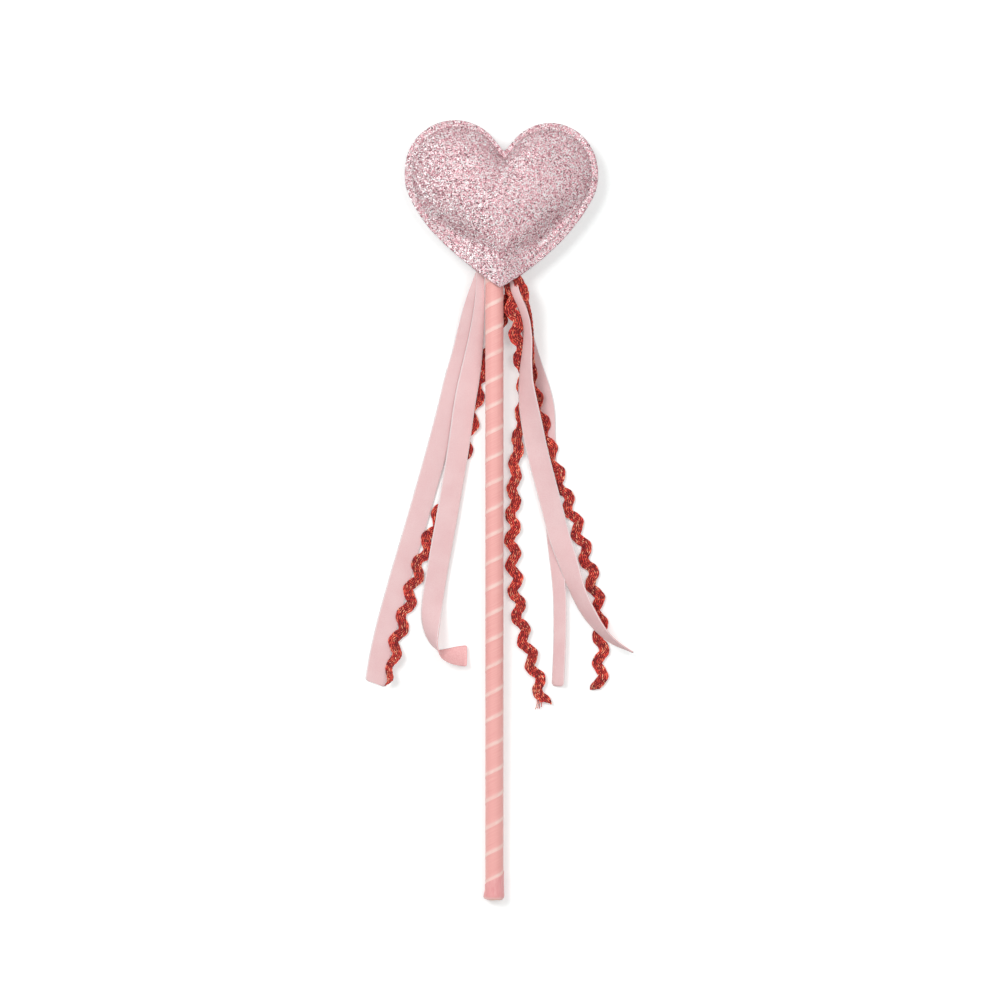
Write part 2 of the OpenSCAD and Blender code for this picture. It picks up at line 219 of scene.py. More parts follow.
# %% Wand axes
FOOT_TO_MOUNT = 6.6 * MM
foot_mount = next(m for m in record["mounts"] if m["name"] == "stick_foot")
stick_up = -Vector(foot_mount["axis"]).normalized()
side = Vector((1, 0, 0))
to_front = side.cross(stick_up)
WAND = Matrix((side, stick_up, to_front)).transposed().to_4x4()
WAND.translation = Vector(foot_mount["pos_m"]) - stick_up * FOOT_TO_MOUNT
print("the stick rises", round(math.degrees(math.asin(stick_up.z)), 2), "degrees to the heart")

# %% [markdown]
# ## Helpers for shaping
#
# Two functions blend numbers: mix goes straight from one to another and ease makes a soft step. The rest
# are what a modeller does by hand again and again: select one piece, lay it in its place, merge the points
# of a seam, give a sheet its thickness, and smooth a mesh.

# %% Helpers for shaping
SAME_PLACE = 2e-6


def mix(a, b, t):
    return a + (b - a) * t


def ease(low, high, value):
    """0 at low, 1 at high, and a smooth change between. high may be the smaller of the two."""
    t = min(1.0, max(0.0, (value - low) / (high - low)))
    return t * t * (3 - 2 * t)


def select_only(piece):
    bpy.ops.object.select_all(action="DESELECT")
    piece.select_set(True)
    bpy.context.view_layer.objects.active = piece


def lay_down(piece, matrix):
    """Moves an upright piece to its place, and keeps the place in its mesh."""
    select_only(piece)
    piece.matrix_world = matrix
    bpy.ops.object.transform_apply(location=True, rotation=True, scale=True)


def close_up(piece):
    """Merges the points that lie on each other, where a rolled-up grid meets itself."""
    select_only(piece)
    bpy.ops.object.mode_set(mode="EDIT")
    bpy.ops.mesh.select_all(action="SELECT")
    bpy.ops.mesh.remove_doubles(threshold=SAME_PLACE)
    bpy.ops.object.mode_set(mode="OBJECT")


def thicken(piece, thickness, offset, second_slot=False):
    """Gives a sheet its thickness. The far side and the edge can take the second material."""
    select_only(piece)
    bpy.ops.object.modifier_add(type="SOLIDIFY")
    wall = piece.modifiers[-1]
    wall.thickness = thickness
    wall.offset = offset
    wall.use_even_offset = False
    if second_slot:
        wall.material_offset = 1
        wall.material_offset_rim = 1
    bpy.ops.object.modifier_apply(modifier=wall.name)


def refine(piece):
    """Cuts each face in four and rounds the mesh."""
    select_only(piece)
    bpy.ops.object.modifier_add(type="SUBSURF")
    smooth = piece.modifiers[-1]
    smooth.levels = 1
    smooth.render_levels = 1
    bpy.ops.object.modifier_apply(modifier=smooth.name)
    bpy.ops.object.shade_smooth()


print("half of a soft step is", ease(0, 1, 0.5))

# %% [markdown]
# ## The heart's outline
#
# A heart cut by a pattern maker is drawn with a compass: a long arc up from the tip, a round lobe and a
# short straight run into the notch, mirrored. The same sizes as the CAD model are used here, in mm.

# %% Heart outline
LOBE_R, LOBE_X, LOBE_Y = 23.2, 22.6, 54.0
NOTCH_SLOPE, TIP_SLOPE = math.radians(50), math.radians(30.5)
tip_out = Vector((math.sin(TIP_SLOPE), -math.cos(TIP_SLOPE)))
lobe_middle = Vector((LOBE_X, LOBE_Y))
side_r = (lobe_middle.length_squared - LOBE_R ** 2) / (2 * (-lobe_middle.dot(tip_out) - LOBE_R))
side_middle = -side_r * tip_out
side_from = math.atan2(tip_out.y, tip_out.x)
side_to = math.atan2(*(lobe_middle - side_middle).yx)
lobe_to = math.pi / 2 + NOTCH_SLOPE
notch_out = Vector((math.cos(lobe_to), math.sin(lobe_to)))
lobe_end = lobe_middle + LOBE_R * notch_out
notch = Vector((0, lobe_end.y - lobe_end.x * math.tan(NOTCH_SLOPE)))
side_length = side_r * (side_to - side_from)
lobe_length = LOBE_R * (lobe_to - side_to)
half_length = side_length + lobe_length + (notch - lobe_end).length


def half_edge(s):
    """A point so far along the right half of the edge from the tip, and the way out from there."""
    if s < side_length:
        angle = mix(side_from, side_to, s / side_length)
        out = Vector((math.cos(angle), math.sin(angle)))
        return side_middle + side_r * out, out
    if s < side_length + lobe_length:
        angle = mix(side_to, lobe_to, (s - side_length) / lobe_length)
        out = Vector((math.cos(angle), math.sin(angle)))
        return lobe_middle + LOBE_R * out, out
    t = (s - side_length - lobe_length) / (half_length - side_length - lobe_length)
    return lobe_end.lerp(notch, min(1, t)), notch_out


print("edge of the heart in mm:", round(2 * half_length, 1))

# %% Edge and seam as rings of points
RIM = 3.0
STEEPEST = 0.8
HEART_MIDDLE = Vector((0, 42.12))
HALF_AROUND = 76
AROUND = 2 * HALF_AROUND
SLIMMER, SLIMMER_LOBE = 0.042, (20, 60)
FULLER, FLANK_LOW, FLANK_HIGH = 2.2, (6, 28), (32, 56)


def as_sewn(point):
    """The sewn heart isn't quite even: its right lobe is slimmer and its left flank fuller than drawn."""
    x, y = point
    if x > 0:
        return Vector((x * (1 - SLIMMER * ease(*SLIMMER_LOBE, y)), y))
    return Vector((x - FULLER * ease(*FLANK_LOW, y) * (1 - ease(*FLANK_HIGH, y)), y))


edge_ring = []
seam_ring = []
for column in range(AROUND):
    step = min(column, AROUND - column)
    point, out = half_edge(half_length * step / HALF_AROUND)
    if step in (0, HALF_AROUND):
        out = Vector((0, -1 if step == 0 else 1))
    mirror = Vector((1 if column <= HALF_AROUND else -1, 1))
    edge = as_sewn(point * mirror)
    way = (HEART_MIDDLE - edge).normalized()
    inwards = -way.dot(out * mirror)
    edge_ring.append(edge)
    seam_ring.append(edge + way * RIM / max(STEEPEST, inwards))
print("points round the seam:", len(seam_ring))

# %% [markdown]
# ## Stuffing
#
# The filling is a wad of polyester fibre that pushes the two panels apart. Its shape could be drawn by
# hand, but a cushion's swell comes from pressure against a seam that can't move, so it is simulated: a
# lean closed heart is remeshed to even quads, its seam is pinned, and cloth pressure blows it up. The
# panels are then laid over this body, so the fabric shows the same swell.

# %% Stuffing before it swells
FABRIC = 0.8
HALF_DEPTH = 11.5
LEAN_SHARE = 0.84
CROWN_FLAT, CROWN_ROUND = 2.2, 0.6
VOXEL = 3 * MM
dome_rings = [1, 0.97, 0.92, 0.85, 0.75, 0.62, 0.47, 0.3, 0.14, 0]


def crown(share):
    """Height of the stuffed form, from 1 in the middle to 0 at the seam."""
    return 0.0 if share >= 1 else (1 - share ** CROWN_FLAT) ** CROWN_ROUND


def heart_grid(name, rings, place):
    """A grid rolled up into rings, from the outermost ring to the middle of the heart."""
    bpy.ops.object.select_all(action="DESELECT")
    last = len(rings) - 1
    bpy.ops.mesh.primitive_grid_add(x_subdivisions=AROUND, y_subdivisions=last, size=2)
    grid = bpy.context.object
    grid.name = name
    for vertex in grid.data.vertices:
        column = round((vertex.co.x + 1) / 2 * AROUND) % AROUND
        ring = rings[round((vertex.co.y + 1) / 2 * last)]
        vertex.co = place(column, ring) * MM
    close_up(grid)
    return grid


def lean_dome(column, share):
    spot = HEART_MIDDLE.lerp(seam_ring[column], share)
    return Vector((*spot, LEAN_SHARE * (HALF_DEPTH - FABRIC) * crown(share)))


stuffing = heart_grid("heart_stuffing", dome_rings, lean_dome)
under = heart_grid("stuffing_back", dome_rings, lean_dome)
lay_down(under, Matrix.Rotation(math.pi, 4, "Y") @ Matrix.Diagonal((-1, 1, 1, 1)))
stuffing.select_set(True)
bpy.context.view_layer.objects.active = stuffing
bpy.ops.object.join()
close_up(stuffing)
bpy.ops.object.mode_set(mode="EDIT")
bpy.ops.mesh.normals_make_consistent(inside=False)
bpy.ops.object.mode_set(mode="OBJECT")
bpy.ops.object.modifier_add(type="REMESH")
stuffing.modifiers[-1].mode = "VOXEL"
stuffing.modifiers[-1].voxel_size = VOXEL
bpy.ops.object.modifier_apply(modifier=stuffing.modifiers[-1].name)
print("stuffing points:", len(stuffing.data.vertices))

# %% Stuffing swells
PINNED_HEIGHT = 1.4 * MM
MOST_MOVE = 4 * MM
CLOTH_MASS, PRESSURE, CLOTH_QUALITY = 0.05, 1800, 6
FRAMES = 20
before = [vertex.co.copy() for vertex in stuffing.data.vertices]
pinned = stuffing.vertex_groups.new(name="seam")
pinned.add([v.index for v in stuffing.data.vertices if abs(v.co.z) < PINNED_HEIGHT], 1.0, "REPLACE")
select_only(stuffing)
bpy.ops.object.modifier_add(type="CLOTH")
cloth = stuffing.modifiers[-1]
cloth.settings.quality = CLOTH_QUALITY
cloth.settings.use_pressure = True
cloth.settings.mass = CLOTH_MASS
cloth.settings.uniform_pressure_force = PRESSURE
cloth.settings.vertex_group_mass = "seam"
cloth.settings.effector_weights.gravity = 0
for number in range(1, FRAMES + 1):
    bpy.context.scene.frame_set(number)
bpy.ops.object.modifier_apply(modifier=cloth.name)
bpy.context.scene.frame_set(1)
moves = []
for vertex, start in zip(stuffing.data.vertices, before):
    move = vertex.co - start
    if move.length > MOST_MOVE:
        vertex.co = start + move.normalized() * MOST_MOVE
    moves.append((vertex.co - start).length)
high_point = max(v.co.z for v in stuffing.data.vertices)
print("swell in mm:", round(max(moves) / MM, 2), "height:", round(high_point / MM, 2))

# %% [markdown]
# ## Heart panels
#
# Each panel is one piece of glitter fabric. Outside the seam it is a flat raw-edged rim, inside it lies on
# the stuffing, and at the tip, where the heart isn't sewn, it lifts over the stick. Little tucks run in
# from the seam where the flat fabric has to bulge. The panel is shaped as one sheet and gets its thickness
# last, so that its cut edge shows the woven backing.

# %% How the fabric lies on the stuffing
FAR_OUT = 50 * MM
CROWN_SCALE = (HALF_DEPTH - FABRIC) * MM / high_point
TUCK_HEIGHT, TUCK_RING, TUCK_SEED = 0.55, 9, 3.1
TUCK_FROM, TUCK_FULL, TUCK_TO = 0.55, 0.85, 0.93
HOLLOW_IN, HOLLOW_OUT = (0.6, 0.86), (1.0, 0.9)
RIGHT_HOLLOW = {"depth": 3.2, "from_tip": (8, 22), "to_lobe": (46, 30)}
LEFT_HOLLOW = {"depth": 3.6, "from_tip": (3, 12), "to_lobe": (38, 24)}
stuffed_tree = BVHTree.FromPolygons([v.co for v in stuffing.data.vertices],
                                    [tuple(p.vertices) for p in stuffing.data.polygons])


def stuffed_height(spot, facing):
    """Height of the swollen stuffing over the seam plane, on one side."""
    start = Vector((spot.x * MM, spot.y * MM, facing * FAR_OUT))
    hit = stuffed_tree.ray_cast(start, Vector((0, 0, -facing)))[0]
    return 0.0 if hit is None else abs(hit.z) / MM * CROWN_SCALE


def tucks(column, share):
    """Small gathers that run in from the seam and die out on the crown."""
    if share >= 1 or share < TUCK_FROM:
        return 0.0
    angle = 2 * math.pi * column / AROUND
    wave = noise.noise(Vector((math.cos(angle) * TUCK_RING, math.sin(angle) * TUCK_RING, TUCK_SEED)))
    return TUCK_HEIGHT * wave * ease(1.0, TUCK_TO, share) * ease(TUCK_FROM, TUCK_FULL, share)


def hollow(spot, share):
    """The fabric is drawn in along the lower flanks, nearer to the tip on the left one."""
    flank = RIGHT_HOLLOW if spot.x > 0 else LEFT_HOLLOW
    across = ease(*HOLLOW_IN, share) * ease(*HOLLOW_OUT, share)
    return flank["depth"] * across * ease(*flank["from_tip"], spot.y) * ease(*flank["to_lobe"], spot.y)


print("stuffing scaled to the heart's depth by", round(CROWN_SCALE, 3))

# %% How the fabric lies at the rim and the open tip
HEART_LEAN = math.radians(1.7)
TIP_X, STICK_OUT = 2.65, 285.0
HEART = (WAND @ Matrix.Translation((TIP_X * MM, STICK_OUT * MM, 0))
         @ Matrix.Rotation(-HEART_LEAN, 4, "Z"))
MOUTH_HALF, MOUTH_TOP, MOUTH_FADE = 20.0, 5.45, (18, 42)
MOUTH_ROUNDING, LEAST_LIFT = 1.2, 0.02
RIM_WAVE, RIM_WAVES_PER_MM, RIM_SEED = 0.35, 0.09, 7.7


def mouth_lift(spot):
    """How far the stick and the streamers hold a panel up at the unsewn tip."""
    along = spot.x * math.cos(HEART_LEAN) + spot.y * math.sin(HEART_LEAN) + TIP_X
    if abs(along) >= MOUTH_HALF:
        return 0.0
    return MOUTH_TOP * (1 - (along / MOUTH_HALF) ** 2) ** 2 * (1 - ease(*MOUTH_FADE, spot.y))


def soft_max(a, b, width):
    """The larger of two heights, with a rounded change from one to the other."""
    gap = max(0.0, width - abs(a - b))
    return max(a, b) + gap * gap / (4 * width)


def rim_wave(spot):
    """The cut edge isn't quite flat."""
    return RIM_WAVE * noise.noise(Vector((*(spot * RIM_WAVES_PER_MM), RIM_SEED)))


print("the open tip is lifted by", round(mouth_lift(Vector((0, 0))), 2), "mm")

# %% Heart panels
ON_STUFFING = (0.97, 0.86)
NEAR_SEAM, SEAM_DROP = (0.8, 1.0), 0.3
FULL_TUCK_HEIGHT = 3
panel_rings = [2, 1.66, 1.33, 1.08, 1, 0.975, 0.95, 0.92, 0.885, 0.845, 0.8, 0.75, 0.69, 0.62, 0.54, 0.45,
               0.35, 0.24, 0.12, 0]


def panel_place(facing):
    """For heart_grid: where each point of one panel lies. Rings above 1 are outside the seam."""
    def place(column, ring):
        height = 0.0
        if ring >= 1:
            spot = seam_ring[column].lerp(edge_ring[column], ring - 1)
        else:
            spot = HEART_MIDDLE.lerp(seam_ring[column], ring)
            drawn = (HALF_DEPTH - FABRIC) * crown(ring) * (1 - SEAM_DROP * ease(*NEAR_SEAM, ring))
            swollen = mix(drawn, stuffed_height(spot, facing), ease(*ON_STUFFING, ring))
            tucked = tucks(column, ring) * min(1, drawn / FULL_TUCK_HEIGHT)
            height = max(0.0, swollen + tucked - hollow(spot, ring))
        lift = mouth_lift(spot)
        if lift > LEAST_LIFT:
            height = soft_max(height, lift, MOUTH_ROUNDING)
        return Vector((*spot, rim_wave(spot) + facing * (height + FABRIC)))
    return place


front_panel = heart_grid("heart_front_panel", panel_rings, panel_place(1))
back_panel = heart_grid("heart_back_panel", panel_rings, panel_place(-1))
select_only(back_panel)
bpy.ops.object.mode_set(mode="EDIT")
bpy.ops.mesh.select_all(action="SELECT")
bpy.ops.mesh.flip_normals()
bpy.ops.object.mode_set(mode="OBJECT")
for panel in (front_panel, back_panel):
    lay_down(panel, HEART)
    refine(panel)
for vertex in back_panel.data.vertices:
    vertex.co.z = max(vertex.co.z, 0.0)
lay_down(stuffing, HEART)
print("front panel top in mm:", round(max(v.co.z for v in front_panel.data.vertices) / MM, 2))

# %% [markdown]
# ## Glitter fabric
#
# Glitter fabric is a woven cloth coated with flakes of metallised film, each about half a millimetre wide
# and tipped its own way. A cell pattern gives each flake a cell: the cell's random colour picks a tint,
# from a dark grey-rose that is painted shade to a white that is a painted flash, and also tips the normal,
# so that a flake flashes when it happens to face a lamp.

# %% Glitter fabric
# The flakes give the eye a grain of small pink, white and dark dots. The white dots are painted glints and
# the darkest dots painted shade, and the tipped normals add glints that change with the light.
FLAKE = 0.43 * MM
FLAKE_TIP = 0.75
CLOUD = 14 * MM
glitter, tree, shader = start_material("pale_pink_glitter_fabric")
place = add_node(tree, "ShaderNodeTexCoord")
cells = add_node(tree, "ShaderNodeTexVoronoi", {"Vector": place.outputs["Object"], "Scale": 1 / FLAKE})
random = add_node(tree, "ShaderNodeSeparateColor", {"Color": cells.outputs["Color"]})
tip = add_node(tree, "ShaderNodeVectorMath", {0: cells.outputs["Color"], 1: (0.5, 0.5, 0.5)},
               operation="SUBTRACT")
shape = add_node(tree, "ShaderNodeNewGeometry")
tipped = add_node(tree, "ShaderNodeVectorMath",
                  {0: tip.outputs[0], 1: (FLAKE_TIP, FLAKE_TIP, FLAKE_TIP), 2: shape.outputs["Normal"]},
                  operation="MULTIPLY_ADD")
facing = add_node(tree, "ShaderNodeVectorMath", {0: tipped.outputs[0]}, operation="NORMALIZE")
tint = add_node(tree, "ShaderNodeValToRGB", {"Fac": random.outputs["Red"]})
# The white stops paint glints and the darkest stop paints shade. The pinks are the flakes' own tints.
set_stops(tint, [(0, "#6f464d"), (0.1, "#b87a85"), (0.27, "#dca5ae"), (0.52, "#eec8cd"), (0.71, "#fdecee"),
                 (0.83, "#ffffff")], "CONSTANT")
cloud = add_node(tree, "ShaderNodeTexNoise", {"Vector": place.outputs["Object"], "Scale": 1 / CLOUD})
patch = add_node(tree, "ShaderNodeMapRange", {"Value": cloud.outputs["Fac"], "To Min": 0.8, "To Max": 0.92})
shade = add_node(tree, "ShaderNodeVectorMath", {0: tint.outputs["Color"], "Scale": patch.outputs["Result"]},
                 operation="SCALE")
tree.links.new(shade.outputs[0], shader.inputs["Base Color"])
tree.links.new(facing.outputs[0], shader.inputs["Normal"])
shader.inputs["Metallic"].default_value = 0.25
shader.inputs["Roughness"].default_value = 0.32
print("flakes in mm:", FLAKE / MM)

# %% Woven backing of the glitter fabric
# A dull cloth, seen at the cut edge and inside the open tip: grey-rose, with an uneven weave, which is
# drawn coarser than it is so that it shows.
WEAVE = 0.5 * MM
backing, tree, shader = start_material("grey_rose_woven_backing")
place = add_node(tree, "ShaderNodeTexCoord")
weave = add_node(tree, "ShaderNodeTexNoise", {"Vector": place.outputs["Object"], "Scale": 1 / WEAVE})
tint = add_node(tree, "ShaderNodeValToRGB", {"Fac": weave.outputs["Fac"]})
set_stops(tint, [(0.35, "#a58488"), (0.65, "#c9aaad")])
tree.links.new(tint.outputs["Color"], shader.inputs["Base Color"])
shader.inputs["Roughness"].default_value = 0.9
print("weave in mm:", WEAVE / MM)

# %% Panels get their thickness and finish
RIMS_APART = 0.03
for panel, node_name in ((front_panel, "heart_front"), (back_panel, "heart_back")):
    panel.data.materials.append(glitter)
    panel.data.materials.append(backing)
    thicken(panel, (FABRIC - RIMS_APART) * MM, -1, second_slot=True)
    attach(panel, "wand")
    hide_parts(node_name)
    print(panel.name, len(panel.data.polygons), "faces")

# %% [markdown]
# ## Stuffing, trimmed to its place
#
# In the real heart the stick is pushed into the stuffing, the glue fills the tip, and the fabric holds the
# fibre in. So a channel and the tip are cut out with the Boolean modifier, and every point is then kept
# under the panels. Rays cast on the panels tell where their outer faces are, and the stitches use the same
# rays later.

# %% Places on the panels
TO_HEART = HEART.inverted()
panel_tree = {}
for panel, facing in ((front_panel, 1), (back_panel, -1)):
    panel_tree[facing] = BVHTree.FromPolygons([v.co for v in panel.data.vertices],
                                              [tuple(p.vertices) for p in panel.data.polygons])


def outside_at(spot, facing):
    """Height of a panel's outer face at a spot of the heart, in metres, or None beside the panel."""
    start = HEART @ Vector((spot.x, spot.y, facing * FAR_OUT))
    hit = panel_tree[facing].ray_cast(start, HEART.to_3x3() @ Vector((0, 0, -facing)))[0]
    return None if hit is None else (TO_HEART @ hit).z


print("front face over the seam in mm:", round(outside_at(HEART_MIDDLE * MM, 1) / MM, 2))

# %% Channel for the stick and cut at the tip
STUFFING_FROM = 301.0 * MM
CHANNEL_R, CHANNEL_SIDES = 3.3 * MM, 32
CHANNEL_TO = 322.0 * MM
TIP_BLOCK = 120 * MM
refine(stuffing)


def cut_away(body, cutter):
    """Cuts one closed shape out of another and deletes the cutter."""
    select_only(body)
    bpy.ops.object.modifier_add(type="BOOLEAN")
    body.modifiers[-1].object = cutter
    body.modifiers[-1].operation = "DIFFERENCE"
    bpy.ops.object.modifier_apply(modifier=body.modifiers[-1].name)
    bpy.data.objects.remove(cutter)


bpy.ops.object.select_all(action="DESELECT")
bpy.ops.mesh.primitive_cylinder_add(vertices=CHANNEL_SIDES, radius=CHANNEL_R,
                                    depth=2 * (CHANNEL_TO - STUFFING_FROM))
channel = bpy.context.object
lay_down(channel, WAND @ Matrix.Translation((0, STUFFING_FROM, 0)) @ Matrix.Rotation(math.pi / 2, 4, "X"))
cut_away(stuffing, channel)
bpy.ops.object.select_all(action="DESELECT")
bpy.ops.mesh.primitive_cube_add(size=TIP_BLOCK)
tip_block = bpy.context.object
lay_down(tip_block, WAND @ Matrix.Translation((0, STUFFING_FROM - TIP_BLOCK / 2, 0)))
cut_away(stuffing, tip_block)
print("stuffing faces:", len(stuffing.data.polygons))

# %% Stuffing kept under the panels
STUFFING_INSET = 1.3 * MM
LEAST_HALF = 0.1 * MM
for vertex in stuffing.data.vertices:
    vertex.co -= vertex.normal * STUFFING_INSET
    spot = TO_HEART @ vertex.co
    facing = 1 if spot.z > 0 else -1
    face = outside_at(spot, facing)
    if face is not None:
        spot.z = facing * min(abs(spot.z), max(LEAST_HALF, abs(face) - STUFFING_INSET))
    vertex.co = HEART @ spot
    vertex.co.z = max(vertex.co.z, STUFFING_INSET)
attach(stuffing, "wand")
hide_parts("heart_filling")
print("stuffing top in mm:", round(max(v.co.z for v in stuffing.data.vertices) / MM, 2))

# %% Stuffing gets its finish
# Polyester fibre: a matt white tangle, with soft shadows between the tufts.
TUFT = 2.5 * MM
fibre, tree, shader = start_material("white_polyester_fibre")
place = add_node(tree, "ShaderNodeTexCoord")
tangle = add_node(tree, "ShaderNodeTexNoise",
                  {"Vector": place.outputs["Object"], "Scale": 1 / TUFT, "Detail": 6, "Distortion": 1.5})
tint = add_node(tree, "ShaderNodeValToRGB", {"Fac": tangle.outputs["Fac"]})
set_stops(tint, [(0.3, "#d9d9d6"), (0.7, "#f7f7f5")])
bump = add_node(tree, "ShaderNodeBump",
                {"Height": tangle.outputs["Fac"], "Strength": 0.6, "Distance": 0.8 * MM})
tree.links.new(tint.outputs["Color"], shader.inputs["Base Color"])
tree.links.new(bump.outputs["Normal"], shader.inputs["Normal"])
shader.inputs["Roughness"].default_value = 0.95
stuffing.data.materials.clear()
stuffing.data.materials.append(fibre)
print("tufts in mm:", TUFT / MM)

# %% [markdown]
# ## Stitches
#
# A sewing machine's lockstitch: short threads on both faces of the rim that dip into the fabric at their
# ends. One stitch is modelled, as a thin rod whose ends are bent down and drawn in, and copied round the
# edge with its own mesh each time.

# %% One stitch
STITCH_LENGTH = 2.3 * MM
THREAD_R = 0.17 * MM
THREAD_SIDES = 6
STITCH_CUTS = (-0.3, 0, 0.3)
DRAWN_IN = 0.35
DIP = 0.28 * MM
bpy.ops.object.select_all(action="DESELECT")
bpy.ops.mesh.primitive_cylinder_add(vertices=THREAD_SIDES, radius=THREAD_R, depth=STITCH_LENGTH,
                                    rotation=(0, math.pi / 2, 0))
stitch = bpy.context.object
bpy.ops.object.transform_apply(rotation=True)
bpy.ops.object.mode_set(mode="EDIT")
for cut in STITCH_CUTS:
    bpy.ops.mesh.select_all(action="SELECT")
    bpy.ops.mesh.bisect(plane_co=(cut * STITCH_LENGTH, 0, 0), plane_no=(1, 0, 0))
bpy.ops.object.mode_set(mode="OBJECT")
for vertex in stitch.data.vertices:
    share = abs(vertex.co.x) / (STITCH_LENGTH / 2)
    slim = 1 - DRAWN_IN * share ** 2
    vertex.co.y *= slim
    vertex.co.z = vertex.co.z * slim - DIP * share ** 3
bpy.ops.object.shade_smooth()
print("one stitch:", len(stitch.data.polygons), "faces")

# %% Stitches round the rim
STITCH_PITCH = 2.9
STITCH_INSET = 0.62
FIRST_STITCH = 19.0
NOTCH_GAP = 1.5
copies = []
count = int((half_length - NOTCH_GAP - FIRST_STITCH) / STITCH_PITCH)
for half in (1, -1):
    for facing in (1, -1):
        for number in range(count):
            point, out = half_edge(FIRST_STITCH + number * STITCH_PITCH)
            spot = as_sewn((point - out * RIM * STITCH_INSET) * Vector((half, 1))) * MM
            turn = math.atan2(out.y, out.x) + math.pi / 2
            spin = Matrix.Rotation(half * turn, 4, "Z")
            flip = Matrix.Rotation(0 if facing == 1 else math.pi, 4, "X")
            copy = stitch.copy()
            copy.data = stitch.data.copy()
            bpy.context.collection.objects.link(copy)
            copy.matrix_world = HEART @ Matrix.Translation((*spot, outside_at(spot, facing))) @ spin @ flip
            copies.append(copy)
bpy.data.objects.remove(stitch)
bpy.ops.object.select_all(action="DESELECT")
for copy in copies:
    copy.select_set(True)
bpy.context.view_layer.objects.active = copies[0]
bpy.ops.object.join()
stitching = bpy.context.object
stitching.name = "seam_stitches"
bpy.ops.object.transform_apply(location=True, rotation=True, scale=True)
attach(stitching, "wand")
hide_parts("seam_stitching")
print("stitches:", len(copies))

# %% Sewing thread
# Polyester thread, twisted from two yarns: a soft shine, with slanting lines of light and dark, which are
# drawn coarser than they are so that they show.
TWIST = 1.2 * MM
thread, tree, shader = start_material("pale_pink_polyester_thread")
place = add_node(tree, "ShaderNodeTexCoord")
twist = add_node(tree, "ShaderNodeTexWave", {"Vector": place.outputs["Object"], "Scale": 1 / TWIST},
                 bands_direction="DIAGONAL")
tint = add_node(tree, "ShaderNodeValToRGB", {"Fac": twist.outputs["Fac"]})
set_stops(tint, [(0.2, "#c99fa6"), (0.8, "#ecd0d3")])
tree.links.new(tint.outputs["Color"], shader.inputs["Base Color"])
shader.inputs["Roughness"].default_value = 0.55
stitching.data.materials.append(thread)
print("thread in mm:", round(2 * THREAD_R / MM, 2))

# %% [markdown]
# ## Ribbon on the stick
#
# The stick is wound with one long satin ribbon. Each turn laps over the edge of the turn below, so a low
# step runs round the stick in a spiral. The ribbon's section is drawn first, by extruding one point up the
# stick, and the Screw modifier winds it round. Then the laps are moved a little, as a hand would lay them.

# %% Wound ribbon
PITCH = 12.13
FRONT_LAP = 12.3
RIBBON_ACROSS = 13.7
WIND_R = 4.12
LAP_STEP, LAP_EDGE = 0.12, (0.08, 0.24)
RIBBON_BOW = 0.04
TURN_FROM, TURNS = -0.5, 24
STEPS_PER_TURN = 44
SECTION_STEPS = 14


def lap_radius(across):
    """Radius of the ribbon from its lower edge, on the turn below, to its upper edge, on the wood."""
    return WIND_R + LAP_STEP * (1 - ease(*LAP_EDGE, across)) + RIBBON_BOW * math.sin(math.pi * across)


bpy.ops.object.select_all(action="DESELECT")
bpy.ops.mesh.primitive_plane_add(size=MM, location=(0, 0, 0))
winding = bpy.context.object
winding.name = "wound_ribbon"
bpy.ops.object.mode_set(mode="EDIT")
bpy.ops.mesh.merge(type="CENTER")
bpy.ops.transform.translate(value=(0, FRONT_LAP * MM, lap_radius(0) * MM))
for k in range(SECTION_STEPS):
    outwards = lap_radius((k + 1) / SECTION_STEPS) - lap_radius(k / SECTION_STEPS)
    bpy.ops.mesh.extrude_vertices_move(
        TRANSFORM_OT_translate={"value": (0, RIBBON_ACROSS / SECTION_STEPS * MM, outwards * MM)})
bpy.ops.object.mode_set(mode="OBJECT")
section = [(vertex.co.y / MM - FRONT_LAP) / RIBBON_ACROSS for vertex in winding.data.vertices]
lay_down(winding, Matrix.Translation((0, PITCH * TURN_FROM * MM, 0))
         @ Matrix.Rotation(2 * math.pi * TURN_FROM, 4, "Y"))
bpy.ops.object.modifier_add(type="SCREW")
screw = winding.modifiers[-1]
screw.axis = "Y"
screw.angle = 2 * math.pi
screw.screw_offset = PITCH * MM
screw.iterations = TURNS
screw.steps = STEPS_PER_TURN
screw.render_steps = STEPS_PER_TURN
bpy.ops.object.modifier_apply(modifier=screw.name)
print("wound ribbon:", len(winding.data.vertices), "points")

# %% Laps moved as by hand
# The Screw modifier repeats the section once a step, with its points in the same order each time. So a
# point's number gives its step, and the section list gives its place across the ribbon.
MIDDLE_TURN = 11.0
LOW_AT_FOOT, LOW_AT_TOP = 2.24, 2.14
LAP_UNEVEN, UNEVEN_PER_TURN, UNEVEN_SEED = 0.3, 2.3, 0.4
RIBBON_THICK = 0.12
CREASE = math.radians(40)


def hand_laid(turn):
    """How far the hand laid a turn below its even place: most at the two ends of the stick, in mm."""
    off = (turn - MIDDLE_TURN) / MIDDLE_TURN
    return (LOW_AT_FOOT if off < 0 else LOW_AT_TOP) * off ** 2


def map_by_point(piece, places):
    """Gives a piece a UV map called ribbon, from one place for each of its points."""
    ribbon_map = piece.data.uv_layers.new(name="ribbon")
    ribbon_map.active_render = True
    for loop in piece.data.loops:
        ribbon_map.data[loop.index].uv = places[loop.vertex_index]


